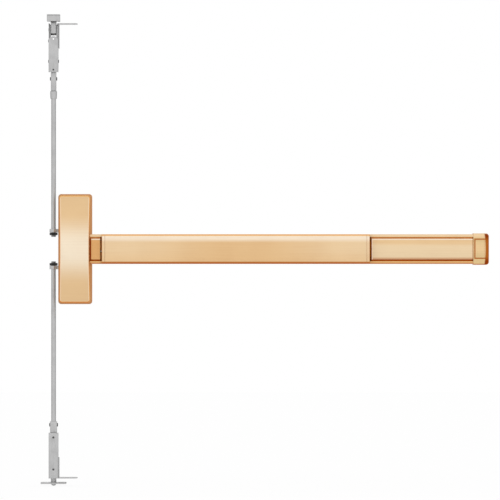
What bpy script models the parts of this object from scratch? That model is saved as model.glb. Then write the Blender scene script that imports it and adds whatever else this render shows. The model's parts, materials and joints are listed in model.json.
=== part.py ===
"""Vertical rod exit device: a push bar with concealed rods for one door leaf.

The head stands on the inner face of the door (y = 0) with its centre at the origin.
+X runs along the bar towards the hinges, +Y goes into the door and +Z is up. Lengths are in metres.
Pressing the bar turns two bell cranks, which pull the drive bar towards the hinges. In the head the drive
bar turns two levers. They draw the top rod down and lift the bottom rod, so both bolts leave their strikes.
"""

import math

import bmesh
import bpy
from mathutils import Matrix, Vector

# Clearances
FIT_GAP = 0.0003
SLIDE_GAP = 0.0005

# Head cover and the plate behind it
HEAD_WIDTH = 0.068
HEAD_HEIGHT = 0.220
HEAD_WALL = 0.0025
HEAD_END_DEPTH = 0.042
HEAD_CROWN_DEPTH = 0.060
HEAD_CORNER_RADIUS = 0.006
HEAD_EDGE_RADIUS = 0.0025
HEAD_DRAFT = 0.08
BASEPLATE_THICKNESS = 0.003
BASEPLATE_CORNER_RADIUS = 0.004
TAB_DEPTH = 0.020
TAB_WIDTH = 0.024
COVER_SCREW_RADIUS = 0.0018
COVER_SCREW_HEAD_RADIUS = 0.0034
COVER_SCREW_LENGTH = 0.010
COVER_SCREW_SINK = 0.0004
COVER_SCREW_HEX_RADIUS = 0.0013
COVER_SCREW_HEX_DEPTH = 0.0010
CAP_SCREW_RIM = 0.0008
CAP_SCREW_CROWN = 0.0016

# Rail, its lips and its two cover plates
RAIL_HEIGHT = 0.059
RAIL_DEPTH = 0.044
RAIL_WALL = 0.0022
RAIL_INSERTION = 0.008
LIP_WIDTH = 0.0055
LIP_WALL = 0.0020
LIP_RETURN_DEPTH = 0.0057
GROOVE_WIDTH = 0.0030
PLATE_THICKNESS = 0.0020
PLATE_CHAMFER = 0.0005
PLATE_PROUD = 0.0004

# Push pad
NECK_LENGTH = 0.0205
PAD_LENGTH = 0.5335
PAD_END_GAP = 0.0035
PAD_FRONT = 0.064
PAD_PLATE = 0.004
PAD_RIM_DEPTH = 0.0055
PAD_RIM_WALL = 0.0025
PAD_EDGE_RADIUS = 0.0030
PAD_LEG_WALL = 0.0022
PAD_LEG_REACH = 0.030
PAD_END_WIDTH = 0.006
PAD_TRAVEL = 0.014

# Plain stretch of rail past the pad, and the end cap over its bracket
RAIL_COVER_LENGTH = 0.2029
END_CAP_LENGTH = 0.0311
END_CAP_WALL = 0.0015
END_CAP_OVERLAP = 0.009
END_CAP_SIDE_RADIUS = 0.008
END_CAP_CORNER_RADIUS = 0.006
END_PANEL_RISE = 0.0012
END_PANEL_MARGIN = 0.003
END_PANEL_HEIGHT = 0.037
END_PANEL_LENGTH = 0.0200
END_PANEL_DRAFT = 0.0008
END_PANEL_RADIUS = 0.002
BRACKET_THICKNESS = 0.003
BRACKET_END_GAP = 0.004
BRACKET_LENGTH = 0.040
BRACKET_TAB_DEPTH = 0.024

# Bell cranks between the pad and the drive bar
CRANK_PAD_ARM = 0.033
CRANK_BAR_ARM = 0.018
CRANK_THICKNESS = 0.004
CRANK_HUB_RADIUS = 0.0070
CRANK_END_RADIUS = 0.0050
CRANK_BAR_END_RADIUS = 0.0038
CRANK_PIN_RADIUS = 0.0020
CRANK_PIVOT_RADIUS = 0.0030
CRANK_PIVOT_DEPTH = 0.030
LEFT_CRANK_INSET = 0.0605
RIGHT_CRANK_INSET = 0.0380
CRANK_BRACKET_HALF_HEIGHT = 0.011
CRANK_BRACKET_HALF_WIDTH = 0.009
CRANK_BRACKET_WALL = 0.002
CRANK_BRACKET_RIM = 0.003
CRANK_PIVOT_TAIL = 0.0015
CRANK_PIVOT_HEAD_RIM = 0.0015
CRANK_PIVOT_HEAD = 0.0018
PAD_LUG_RIM = 0.003
LUG_THICKNESS = 0.003
LUG_HALF_WIDTH = 0.008
LUG_FLANGE_HALF_WIDTH = 0.012
LUG_FLANGE_HALF_HEIGHT = 0.010

# Drive bar, its return spring and its yoke
DRIVE_BAR_THICKNESS = 0.003
DRIVE_BAR_BACK_DEPTH = 0.008
DRIVE_BAR_WIDTH = 0.0092
DRIVE_BAR_START = 0.019
DRIVE_BAR_OVERRUN = 0.010
SPRING_START = 0.200
SPRING_LENGTH = 0.080
SPRING_TURNS = 10
SPRING_RADIUS = 0.0059
SPRING_WIRE_RADIUS = 0.0006
SPRING_SEAT_THICKNESS = 0.003
SPRING_STOP_RIM = 0.003
STOP_HALF_HEIGHT = 0.011
STOP_FOOT_THICKNESS = 0.002
STOP_FOOT_LENGTH = 0.014
YOKE_THICKNESS = 0.003
YOKE_LENGTH = 0.032
YOKE_PIN_INSET = 0.006
YOKE_CORNER_RADIUS = 0.004
YOKE_HALF_HEIGHT = 0.0115

# Levers in the head
LEVER_THICKNESS = 0.004
LEVER_BACK_DEPTH = 0.012
LEVER_PIVOT_X = 0.012
LEVER_PIVOT_Z = 0.026
LEVER_DRIVE_ARM = 0.0198
LEVER_ROD_ARM = 0.032
LEVER_HUB_RADIUS = 0.0080
LEVER_END_RADIUS = 0.0055
LEVER_PIVOT_RADIUS = 0.0030
STUD_FLANGE_RADIUS = 0.0055
STUD_FLANGE = 0.0015
YOKE_PIN_RADIUS = 0.0020
SLIDE_PIN_RADIUS = 0.0025

# Centre slide and rods, set in the middle of the door's thickness
DOOR_THICKNESS = 0.0445
ROD_X = -0.044
ROD_RADIUS = 0.00475
HOUSING_WIDTH = 0.010
HOUSING_DEPTH = 0.021
HOUSING_HALF_HEIGHT = 0.020
HOUSING_WALL = 0.0015
HOUSING_BACK = 0.0235
HOUSING_CORNER = 0.004
HOUSING_TAB_LENGTH = 0.022
HOUSING_WINDOW_FRONT = 0.0045
HOUSING_WINDOW_BACK = 0.005
HOUSING_WINDOW_END = 0.006
THROUGH_BOLT_Z = 0.012
THROUGH_BOLT_RADIUS = 0.0025
THROUGH_BOLT_HEAD_RADIUS = 0.0048
THROUGH_BOLT_HEAD = 0.0030
SLIDE_DEPTH = 0.0085
SLIDE_INNER_END = 0.0135
SLIDE_ARM_HEIGHT = 0.007
SLIDE_EYE_RADIUS = 0.0082
NUT_HEIGHT = 0.0053
NUT_ACROSS_FLATS = 0.0140
SLIDE_ARM_STEP = 0.002
SLIDE_ARM_TAPER = 0.006
ROD_STUB = 0.0033

# Top latch
TOP_EDGE = 0.452
TOP_CASE_HEIGHT = 0.0975
CASE_WIDTH = 0.019
CASE_WALL = 0.0015
TOP_CASE_FRONT = 0.0065
TOP_CASE_DEPTH = 0.031
TOP_FRONT_WALL_HEIGHT = 0.0716
CASE_CORNER_RADIUS = 0.008
CASE_TOP_RADIUS = 0.007
CASE_CHAMFER = 0.006
CASE_ARCH_RISE = 0.005
CASE_SCREW_RADIUS = 0.0018
CASE_RIVET_RADIUS = 0.0013
GUIDE_SLANT_DEPTH = 0.004
GUIDE_SLANT_DROP = 0.006
SLIDER_PIN_ENTRY_RADIUS = 0.0040
BOLT_WIDTH = 0.011
BOLT_SWING_DEG = 60.0
BOLT_PIVOT_DROP = 0.012
BOLT_PIVOT_INSET = 0.004
BOLT_PIVOT_RADIUS = 0.0024
BOLT_HUB_RADIUS = 0.0042
BOLT_HEAD_RADIUS = 0.0036
BOLT_REACH = 0.014
BOLT_FRONT_REACH = 0.0106
BOLT_DEPTH = 0.022
LINK_PIN_RADIUS = 0.00175
SLIDER_WIDTH = 0.013
SLIDER_RISE = 0.011725
SLIDER_EYE_WALL = 0.0018
SLIDER_WEB_LOW = 0.022
SLIDER_WEB_HEIGHT = 0.008
GUIDE_PIN_RADIUS = 0.0020
GUIDE_PIN_DROP = 0.035
SLIDER_PIN_RISE = 0.010
CONNECTOR_WIDTH = 0.011
CONNECTOR_LENGTH = 0.067
CONNECTOR_DROP = 0.0372
CONNECTOR_SCREW_DROP = 0.0135
SET_SCREW_RADIUS = 0.0025
SET_SCREW_RIM = 0.0008
SET_SCREW_CROWN = 0.0006
SET_SCREW_HEAD_RIM = 0.0010
PIN_HEAD_THICKNESS = 0.0009
FITTING_LENGTH = 0.016
FITTING_CAP = 0.004
FITTING_RADIUS = 0.0063
FITTING_LIP_RADIUS = 0.0068
FITTING_TAPER = 0.006
FITTING_BEVEL = 0.0015
FITTING_BEVEL_INSET = 0.0008
SQUARE_BAR_CHAMFER = 0.0012
STUD_RADIUS = 0.0030
STUD_LENGTH = 0.020

# Angle brackets that hold the latch cases to the door
ANGLE_THICKNESS = 0.002
ANGLE_LENGTH = 0.038
ANGLE_DEPTH = 0.034
ANGLE_CHAMFER = 0.006
ANGLE_LEG_WIDTH = 0.018
TOP_ANGLE_LEG = 0.050
BOTTOM_ANGLE_LEG = 0.042
ANGLE_HOLE_RADIUS = 0.0022
ANGLE_HOLES = ((0.0147, 0.0168), (0.0316, 0.0267), (0.0300, 0.0084))
ANGLE_LEG_SHIFT = 0.004
ANGLE_SINK_RADIUS = 0.0040

# Top strike: an open box in the frame head, and the plate over it
FRAME_GAP = 0.004
STRIKE_BOX_WIDTH = 0.026
STRIKE_BOX_DEPTH = 0.033
STRIKE_BOX_HEIGHT = 0.012
STRIKE_BOX_FRONT = 0.0045
STRIKE_WALL = 0.0015
STRIKE_PLATE_CORNER = 0.0015
STRIKE_WINDOW_GAP = 0.0007
STRIKE_HOLE_RADIUS = 0.0016

# Bottom latch
BOTTOM_EDGE = -0.459
BOTTOM_CASE_HEIGHT = 0.091
BOTTOM_CASE_FRONT = 0.007
BOTTOM_CASE_DEPTH = 0.030
BOTTOM_BOLT_RADIUS = 0.0055
BOTTOM_BOLT_REACH = 0.015
BOLT_NECK_RADIUS = 0.0040
BOLT_NECK_LENGTH = 0.008
BOTTOM_CASE_SIDE_HOLE = 0.0016
BOTTOM_CASE_FRONT_HOLE = 0.0020
BOTTOM_CASE_FOOT_CHAMFER = 0.004
BOTTOM_CASE_TOP_CHAMFER = 0.003
SLEEVE_WIDTH = 0.014
SLEEVE_LENGTH = 0.040
SLEEVE_TOP_RISE = 0.023
SLEEVE_SCREW_DROP = 0.007
SLEEVE_BOTTOM_WALL = 0.0017
GUIDE_PLATE = 0.006
GUIDE_UPPER_RISE = 0.051
GUIDE_WEB = 0.003
GUIDE_WEB_FRONT = 0.031
GUIDE_PLATE_FRONT = 0.014
GUIDE_RIVET_RADIUS = 0.0025
CROSS_PIN_RISE = 0.019
CROSS_PIN_RADIUS = 0.0020
BOLT_SPRING_RADIUS = 0.0065
BOLT_SPRING_WIRE_RADIUS = 0.00055
BOLT_SPRING_TURNS = 6

# Bottom strike plate, let into the floor
FLOOR_GAP = 0.008
FLOOR_STRIKE_WIDTH = 0.051
FLOOR_STRIKE_DEPTH = 0.036
FLOOR_STRIKE_THICKNESS = 0.003
FLOOR_STRIKE_CORNER = 0.0015
FLOOR_STRIKE_HOLE_RADIUS = 0.00825
FLOOR_STRIKE_SINK_RADIUS = 0.0100
FLOOR_SCREW_RADIUS = 0.0028
FLOOR_SCREW_SINK_RADIUS = 0.0048
FLOOR_SCREW_X = 0.0190
FLOOR_SCREW_Y = 0.0097

# Numbers of sides on round pieces
PIN_SIDES = 14
ROD_SIDES = 20
COIL_STEPS = 12
WIRE_SIDES = 6

# Sizes that follow from the ones above
HEAD_HALF_WIDTH = HEAD_WIDTH / 2
HEAD_HALF_HEIGHT = HEAD_HEIGHT / 2
BASEPLATE_HALF_WIDTH = HEAD_HALF_WIDTH - HEAD_WALL - FIT_GAP
BASEPLATE_HALF_HEIGHT = HEAD_HALF_HEIGHT - HEAD_WALL - FIT_GAP
RAIL_HALF = RAIL_HEIGHT / 2
RAIL_BACK = BASEPLATE_THICKNESS + FIT_GAP
RAIL_FLOOR = RAIL_BACK + RAIL_WALL
RAIL_INNER_HALF = RAIL_HALF - RAIL_WALL
LIP_EDGE = RAIL_HALF - LIP_WIDTH
LIP_RETURN_END = RAIL_DEPTH - LIP_RETURN_DEPTH
RAIL_START = HEAD_HALF_WIDTH - RAIL_INSERTION
PAD_START = HEAD_HALF_WIDTH + NECK_LENGTH
PAD_END = PAD_START + PAD_LENGTH
END_CAP_START = PAD_END + PAD_END_GAP + RAIL_COVER_LENGTH
DEVICE_END = END_CAP_START + END_CAP_LENGTH
RAIL_END = END_CAP_START + END_CAP_OVERLAP

LEFT_CRANK_X = PAD_START + LEFT_CRANK_INSET
RIGHT_CRANK_X = PAD_END - RIGHT_CRANK_INSET
CRANK_HALF_SWING = math.asin(PAD_TRAVEL / 2 / CRANK_PAD_ARM)
BAR_TRAVEL = 2 * CRANK_BAR_ARM * math.sin(CRANK_HALF_SWING)
LEVER_HALF_SWING = math.atan(BAR_TRAVEL / 2 / LEVER_DRIVE_ARM)
ROD_TRAVEL = 2 * LEVER_ROD_ARM * math.tan(LEVER_HALF_SWING)

LUG_LOW = CRANK_THICKNESS / 2 + FIT_GAP * 2
DRIVE_BAR_TOP = -(CRANK_THICKNESS / 2 + FIT_GAP * 3)
DRIVE_BAR_LOW = DRIVE_BAR_TOP - DRIVE_BAR_THICKNESS
DRIVE_BAR_FRONT = DRIVE_BAR_BACK_DEPTH + DRIVE_BAR_WIDTH
DRIVE_BAR_MID_Y = -(DRIVE_BAR_BACK_DEPTH + DRIVE_BAR_WIDTH / 2)
DRIVE_BAR_MID_Z = (DRIVE_BAR_TOP + DRIVE_BAR_LOW) / 2
LEVER_FRONT = LEVER_BACK_DEPTH + LEVER_THICKNESS
YOKE_BACK = max(DRIVE_BAR_FRONT, LEVER_FRONT + STUD_FLANGE) + FIT_GAP
SLIDE_X = LEVER_PIVOT_X - LEVER_ROD_ARM
SLIDE_PIN_Z = LEVER_PIVOT_Z + ROD_TRAVEL / 2
YOKE_PIN_X = LEVER_PIVOT_X - BAR_TRAVEL / 2
YOKE_PIN_Z = LEVER_PIVOT_Z - LEVER_DRIVE_ARM

ROD_Y = DOOR_THICKNESS / 2
SLIDE_ARM_LOW = HOUSING_HALF_HEIGHT + ROD_TRAVEL + SLIDE_GAP * 2
ROD_INNER_END = SLIDE_ARM_LOW - FIT_GAP - NUT_HEIGHT - ROD_STUB

CASE_HALF = CASE_WIDTH / 2
CASE_INNER_HALF = CASE_HALF - CASE_WALL
TOP_CASE_LOW = TOP_EDGE - TOP_CASE_HEIGHT
TOP_CASE_BACK = TOP_CASE_FRONT + TOP_CASE_DEPTH
BOLT_PIVOT_Y = TOP_CASE_BACK - BOLT_PIVOT_INSET
BOLT_PIVOT_Z = TOP_EDGE - BOLT_PIVOT_DROP
LINK_ARM = ROD_TRAVEL / 2 / math.sin(math.radians(BOLT_SWING_DEG / 2))
LINK_PIN_Y = BOLT_PIVOT_Y - LINK_ARM * math.cos(math.radians(BOLT_SWING_DEG / 2))
LINK_PIN_Z = BOLT_PIVOT_Z + ROD_TRAVEL / 2
SLIDER_OUTER_HALF = CASE_INNER_HALF - FIT_GAP
SLIDER_INNER_HALF = BOLT_WIDTH / 2 + FIT_GAP
SLIDER_TOP = LINK_PIN_Z + LINK_PIN_RADIUS + SLIDER_EYE_WALL
SLIDER_LOW = TOP_CASE_LOW + SLIDER_RISE
SLIDER_FRONT = ROD_Y - SLIDER_WIDTH / 2
SLIDER_BACK = ROD_Y + SLIDER_WIDTH / 2
GUIDE_PIN_Z = TOP_EDGE - GUIDE_PIN_DROP
SLIDER_PIN_Z = SLIDER_LOW + SLIDER_PIN_RISE
CONNECTOR_LOW = TOP_CASE_LOW - CONNECTOR_DROP
FITTING_TOP = CONNECTOR_LOW - FIT_GAP
TOP_ROD_END = FITTING_TOP - FITTING_CAP

FRAME_FACE = TOP_EDGE + FRAME_GAP
STRIKE_BOX_TOP = FRAME_FACE + STRIKE_BOX_HEIGHT

BOTTOM_CASE_TOP = BOTTOM_EDGE + BOTTOM_CASE_HEIGHT
BOTTOM_CASE_BACK = BOTTOM_CASE_FRONT + BOTTOM_CASE_DEPTH
SLEEVE_TOP = BOTTOM_CASE_TOP + SLEEVE_TOP_RISE
SLEEVE_LOW = SLEEVE_TOP - SLEEVE_LENGTH
BOLT_NECK_TOP = SLEEVE_LOW + BOLT_NECK_LENGTH
BOTTOM_ROD_END = BOLT_NECK_TOP + FIT_GAP * 2 + SLEEVE_BOTTOM_WALL
BOTTOM_BOLT_TIP = BOTTOM_EDGE - BOTTOM_BOLT_REACH
GUIDE_LOW = BOTTOM_EDGE + 0.001
GUIDE_UPPER = GUIDE_LOW + GUIDE_UPPER_RISE
CROSS_PIN_Z = BOTTOM_EDGE + CROSS_PIN_RISE
FLOOR_STRIKE_TOP = BOTTOM_EDGE - FLOOR_GAP
FLOOR_STRIKE_LOW = FLOOR_STRIKE_TOP - FLOOR_STRIKE_THICKNESS

# Plane axes that an outline is drawn in, for each direction it can be extruded along
PLANES = {"X": "YZ", "Y": "XZ", "Z": "XY"}


def metal(name, colour, roughness):
    """A Principled material of one colour."""
    material = bpy.data.materials.new(name)
    material.use_nodes = True
    shader = material.node_tree.nodes["Principled BSDF"]
    shader.inputs["Base Color"].default_value = (*colour, 1.0)
    shader.inputs["Metallic"].default_value = 1.0
    shader.inputs["Roughness"].default_value = roughness
    return material


def place(axis, along, across):
    """A point from its place along an axis and its two places in the plane across it."""
    places = dict(zip(PLANES[axis], across))
    places[axis] = along
    return Vector((places["X"], places["Y"], places["Z"]))


def add_object(name, mesh_builder, material):
    """Turn a bmesh into an object of the scene, with its faces pointing out."""
    bmesh.ops.recalc_face_normals(mesh_builder, faces=mesh_builder.faces)
    mesh = bpy.data.meshes.new(name)
    mesh_builder.to_mesh(mesh)
    mesh_builder.free()
    piece = bpy.data.objects.new(name, mesh)
    bpy.context.scene.collection.objects.link(piece)
    if material is not None:
        mesh.materials.append(material)
    return piece


def loft(name, rings, material=None):
    """A closed solid through rings of equal length, capped at both ends."""
    builder = bmesh.new()
    rows = [[builder.verts.new(point) for point in ring] for ring in rings]
    count = len(rows[0])
    for lower, upper in zip(rows, rows[1:]):
        for i in range(count):
            j = (i + 1) % count
            builder.faces.new((lower[i], lower[j], upper[j], upper[i]))
    builder.faces.new(rows[0])
    builder.faces.new(rows[-1])
    return add_object(name, builder, material)


def extrusion(name, outline, axis, low, high, material=None):
    """A flat outline drawn across an axis and extruded along it."""
    rings = [[place(axis, along, point) for point in outline] for along in (low, high)]
    return loft(name, rings, material)


def block(name, low, high, material=None):
    """A rectangular block between two corners."""
    outline = [(low[0], low[1]), (high[0], low[1]), (high[0], high[1]), (low[0], high[1])]
    return extrusion(name, outline, "Z", low[2], high[2], material)


def circle(centre, radius, sides=PIN_SIDES):
    """Points of a circle, which stay on the radius."""
    step = 2 * math.pi / sides
    return [
        (centre[0] + radius * math.cos(i * step), centre[1] + radius * math.sin(i * step))
        for i in range(sides)
    ]


def cylinder(name, axis, centre, radius, low, high, material=None, sides=PIN_SIDES):
    """A round bar along an axis."""
    return extrusion(name, circle(centre, radius, sides), axis, low, high, material)


def turned(name, axis, centre, profile, material=None, sides=PIN_SIDES):
    """A turned solid: its profile lists radius and place along the axis."""
    rings = []
    for radius, along in profile:
        rings.append([place(axis, along, point) for point in circle(centre, radius, sides)])
    return loft(name, rings, material)


def arc(centre, radius, first_deg, last_deg, steps):
    """Points along an arc, both ends included."""
    points = []
    for i in range(steps + 1):
        angle = math.radians(first_deg + (last_deg - first_deg) * i / steps)
        points.append((centre[0] + radius * math.cos(angle), centre[1] + radius * math.sin(angle)))
    return points


def slot_outline(first, last, radius, steps=5):
    """A round-ended slot between two points."""
    heading = math.degrees(math.atan2(last[1] - first[1], last[0] - first[0]))
    points = arc(last, radius, heading - 90, heading + 90, steps)
    points += arc(first, radius, heading + 90, heading + 270, steps)
    return points


def rounded_rectangle(low, high, radius, steps=4):
    """A rectangle between two corners with round corners."""
    points = arc((high[0] - radius, low[1] + radius), radius, -90, 0, steps)
    points += arc((high[0] - radius, high[1] - radius), radius, 0, 90, steps)
    points += arc((low[0] + radius, high[1] - radius), radius, 90, 180, steps)
    points += arc((low[0] + radius, low[1] + radius), radius, 180, 270, steps)
    return points


def mirrored(outline):
    """An outline of one half, followed by the same half mirrored in its second coordinate."""
    return outline + [(a, -b) for a, b in reversed(outline)]


def combine(target, tool, operation):
    """Apply one Boolean with a helper solid, then remove the helper."""
    tool.display_type = "WIRE"
    tool.hide_render = True
    modifier = target.modifiers.new(operation.lower(), "BOOLEAN")
    modifier.operation = operation
    modifier.solver = "EXACT"
    modifier.object = tool
    with bpy.context.temp_override(object=target, active_object=target):
        bpy.ops.object.modifier_apply(modifier=modifier.name)
    tool_mesh = tool.data
    bpy.data.objects.remove(tool)
    bpy.data.meshes.remove(tool_mesh)


def cut(target, *tools):
    """Cut helper solids out of a piece."""
    for tool in tools:
        combine(target, tool, "DIFFERENCE")
    return target


def join(target, *extras):
    """Weld helper solids onto a piece."""
    for extra in extras:
        combine(target, extra, "UNION")
    return target


def countersunk_hole(axis, centre, radius, sink_radius, face, far):
    """A cutter for a screw hole, with its cone at the place called face and its bore on to far."""
    way = 1 if far > face else -1
    sink = sink_radius - radius
    margin = 0.0005
    profile = [
        (sink_radius + margin, face - way * margin),
        (radius, face + way * sink),
        (radius, far + way * margin),
    ]
    return turned("cutter", axis, centre, profile)


def coil(name, axis, centre, low, high, mean_radius, wire_radius, turns, material):
    """A coil spring along an axis, as one round wire."""
    rings = []
    count = turns * COIL_STEPS
    rise = high - low - 2 * wire_radius
    for i in range(count + 1):
        angle = 2 * math.pi * i / COIL_STEPS
        along = low + wire_radius + rise * i / count
        ring = []
        for k in range(WIRE_SIDES):
            turn = 2 * math.pi * k / WIRE_SIDES
            radius = mean_radius + wire_radius * math.cos(turn)
            across = (centre[0] + radius * math.cos(angle), centre[1] + radius * math.sin(angle))
            ring.append(place(axis, along + wire_radius * math.sin(turn), across))
        rings.append(ring)
    return loft(name, rings, material)


def shade_round(piece, angle_deg=35):
    """Shade the round faces of a piece smooth and keep its edges sharp."""
    piece.data.shade_smooth()
    piece.data.set_sharp_from_angle(angle=math.radians(angle_deg))


def carry(name, axis_point, pieces):
    """Hang the pieces of a moving body on an empty that sits on its joint's axis."""
    pivot = bpy.data.objects.new(name, None)
    pivot.location = axis_point
    bpy.context.scene.collection.objects.link(pivot)
    for piece in pieces:
        piece.parent = pivot
        piece.matrix_parent_inverse = Matrix.Translation(axis_point).inverted()


def head_ring(inset, front_share, sink=0.0):
    """One level of the head cover: its outline moved in, at a share of the crowned depth."""
    half_width = HEAD_HALF_WIDTH - inset
    half_height = HEAD_HALF_HEIGHT - inset
    radius = max(HEAD_CORNER_RADIUS - inset, 0.001)
    side_steps = 14
    straight = half_height - radius
    right = arc((half_width - radius, -straight), radius, -90, 0, 3)
    right += [(half_width, straight * (2 * i / side_steps - 1)) for i in range(1, side_steps)]
    right += arc((half_width - radius, straight), radius, 0, 90, 3)
    ring = []
    for x, z in right + [(-x, z) for x, z in reversed(right)]:
        depth = head_depth(z) * front_share - sink
        lean = HEAD_DRAFT * depth
        ring.append(Vector((x - math.copysign(lean, x), -depth, z * (1 - lean / half_height))))
    return ring


def head_depth(z):
    """How far the crowned front of the head stands off the door at a height."""
    crown = HEAD_CROWN_DEPTH - HEAD_END_DEPTH
    radius = (HEAD_HALF_HEIGHT ** 2 + crown ** 2) / (2 * crown)
    return HEAD_CROWN_DEPTH - (radius - math.sqrt(radius ** 2 - z ** 2))


def head_cover(material):
    """Drawn cover with a crowned front, leaning walls and a window for the rail."""
    edge = HEAD_EDGE_RADIUS
    rings = [head_ring(0.0, 0.0), head_ring(0.0, 1.0, edge)]
    for turn in (30, 60, 90):
        angle = math.radians(turn)
        rings.append(head_ring(edge * (1 - math.cos(angle)), 1.0, edge * (1 - math.sin(angle))))
    inner = [head_ring(HEAD_WALL, 0.0), head_ring(HEAD_WALL, 1.0, HEAD_WALL)]
    builder = bmesh.new()
    outer_rows = [[builder.verts.new(point) for point in ring] for ring in rings]
    inner_rows = [[builder.verts.new(point) for point in ring] for ring in inner]
    count = len(outer_rows[0])
    for rows in (outer_rows, inner_rows, [outer_rows[0], inner_rows[0]]):
        for lower, upper in zip(rows, rows[1:]):
            for i in range(count):
                j = (i + 1) % count
                builder.faces.new((lower[i], lower[j], upper[j], upper[i]))
    for front in (outer_rows[-1], inner_rows[-1]):
        for i in range(count // 2 - 1):
            builder.faces.new((front[i], front[i + 1], front[count - 2 - i], front[count - 1 - i]))
    cover = add_object("head_cover", builder, material)
    window_half = RAIL_HALF + SLIDE_GAP
    window = block(
        "cutter",
        (HEAD_HALF_WIDTH - RAIL_INSERTION, -(RAIL_DEPTH + SLIDE_GAP), -window_half),
        (HEAD_HALF_WIDTH + RAIL_INSERTION, 0.001, window_half),
    )
    cut(cover, window)
    for way in (1, -1):
        bore = cylinder("cutter", "Z", (0, -TAB_DEPTH / 2), COVER_SCREW_RADIUS + FIT_GAP,
                        *sorted((way * (HEAD_HALF_HEIGHT - 0.008), way * (HEAD_HALF_HEIGHT + 0.002))))
        sink = turned("cutter", "Z", (0, -TAB_DEPTH / 2), cover_screw_head(way, FIT_GAP, 0.002))
        cut(cover, bore, sink)
    return cover


def cover_screw_face(way):
    """Height of the cover's end wall where its screw sits."""
    return way * (HEAD_HALF_HEIGHT - HEAD_DRAFT * TAB_DEPTH / 2 - COVER_SCREW_SINK)


def cover_screw_head(way, gap, rise):
    """Cone of the screw head, wider by the gap and reaching past the wall by the rise."""
    face = cover_screw_face(way)
    cone = COVER_SCREW_HEAD_RADIUS - COVER_SCREW_RADIUS
    profile = [
        (COVER_SCREW_HEAD_RADIUS + gap + rise, face + way * rise),
        (COVER_SCREW_HEAD_RADIUS + gap, face),
        (COVER_SCREW_RADIUS + gap, face - way * cone),
    ]
    return profile[1:] if rise == 0 else profile


def cover_screw(name, way, material):
    """Countersunk screw through an end wall of the cover into the baseplate's tab."""
    face = cover_screw_face(way)
    profile = cover_screw_head(way, 0.0, 0.0)
    profile.append((COVER_SCREW_RADIUS, face - way * COVER_SCREW_LENGTH))
    screw = turned(name, "Z", (0, -TAB_DEPTH / 2), profile, material)
    hex_hole = cylinder("cutter", "Z", (0, -TAB_DEPTH / 2), COVER_SCREW_HEX_RADIUS,
                        *sorted((face - way * COVER_SCREW_HEX_DEPTH, face + way * COVER_SCREW_HEX_DEPTH)),
                        sides=6)
    return cut(screw, hex_hole)


def head_baseplate(material):
    """Plate behind the cover, with a folded tab at each end and slots for the slide pins."""
    half_width = BASEPLATE_HALF_WIDTH
    half_height = BASEPLATE_HALF_HEIGHT
    outline = rounded_rectangle((-half_width, -half_height), (half_width, half_height),
                                BASEPLATE_CORNER_RADIUS)
    plate = extrusion("head_baseplate", outline, "Y", -BASEPLATE_THICKNESS, 0.0, material)
    tab_face = HEAD_HALF_HEIGHT - HEAD_WALL - HEAD_DRAFT * TAB_DEPTH - SLIDE_GAP
    for way in (1, -1):
        low, high = sorted((way * (tab_face - BASEPLATE_THICKNESS), way * tab_face))
        tab = block("extra", (-TAB_WIDTH / 2, -TAB_DEPTH, low), (TAB_WIDTH / 2, -0.001, high))
        join(plate, tab)
        cut(plate, cylinder("cutter", "Z", (0, -TAB_DEPTH / 2), COVER_SCREW_RADIUS + FIT_GAP,
                            low - 0.001, high + 0.001))
        slide_slot = slot_outline(
            (SLIDE_X, way * (SLIDE_PIN_Z - ROD_TRAVEL)),
            (SLIDE_X, way * SLIDE_PIN_Z),
            SLIDE_PIN_RADIUS + SLIDE_GAP,
        )
        cut(plate, extrusion("cutter", slide_slot, "Y", -0.004, 0.001))
        cut(plate, cylinder("cutter", "Y", (0, way * THROUGH_BOLT_Z), THROUGH_BOLT_RADIUS + FIT_GAP,
                            -0.004, 0.001))
        cut(plate, cylinder("cutter", "Y", (LEVER_PIVOT_X, way * LEVER_PIVOT_Z),
                            LEVER_PIVOT_RADIUS + FIT_GAP, -0.004, 0.001))
    return plate


def lever_stud(name, way, material):
    """Shouldered stud on the baseplate that a lever turns on, with a thin head over the lever."""
    centre = (LEVER_PIVOT_X, way * LEVER_PIVOT_Z)
    seat = -(LEVER_BACK_DEPTH - FIT_GAP)
    head = -(LEVER_FRONT + FIT_GAP)
    profile = [
        (LEVER_PIVOT_RADIUS, -0.0005),
        (LEVER_PIVOT_RADIUS, -(BASEPLATE_THICKNESS + FIT_GAP)),
        (STUD_FLANGE_RADIUS, -(BASEPLATE_THICKNESS + FIT_GAP)),
        (STUD_FLANGE_RADIUS, seat),
        (LEVER_PIVOT_RADIUS, seat),
        (LEVER_PIVOT_RADIUS, head),
        (STUD_FLANGE_RADIUS - 0.001, head),
        (STUD_FLANGE_RADIUS - 0.001, head - STUD_FLANGE + FIT_GAP),
    ]
    return turned(name, "Y", centre, profile, material)


def through_bolt(name, way, material):
    """Round-headed bolt from the baseplate through the door into the slide housing's tab."""
    centre = (0, way * THROUGH_BOLT_Z)
    seat = -(BASEPLATE_THICKNESS + FIT_GAP)
    profile = [
        (THROUGH_BOLT_RADIUS, HOUSING_BACK + 0.003),
        (THROUGH_BOLT_RADIUS, seat),
        (THROUGH_BOLT_HEAD_RADIUS, seat),
        (THROUGH_BOLT_HEAD_RADIUS, seat - THROUGH_BOLT_HEAD * 0.6),
        (THROUGH_BOLT_HEAD_RADIUS * 0.7, seat - THROUGH_BOLT_HEAD),
    ]
    return turned(name, "Y", centre, profile, material)


def lever_arm(length, end_radius, rod_side):
    """Outline of one lever arm from the hub, tapering to its round end."""
    heading = 180 if rod_side else -90
    end = (-length, 0.0) if rod_side else (0.0, -length)
    points = arc((0.0, 0.0), LEVER_HUB_RADIUS, heading + 90, heading + 270, 8)
    points += arc(end, end_radius, heading - 90, heading + 90, 6)
    return points


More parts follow.
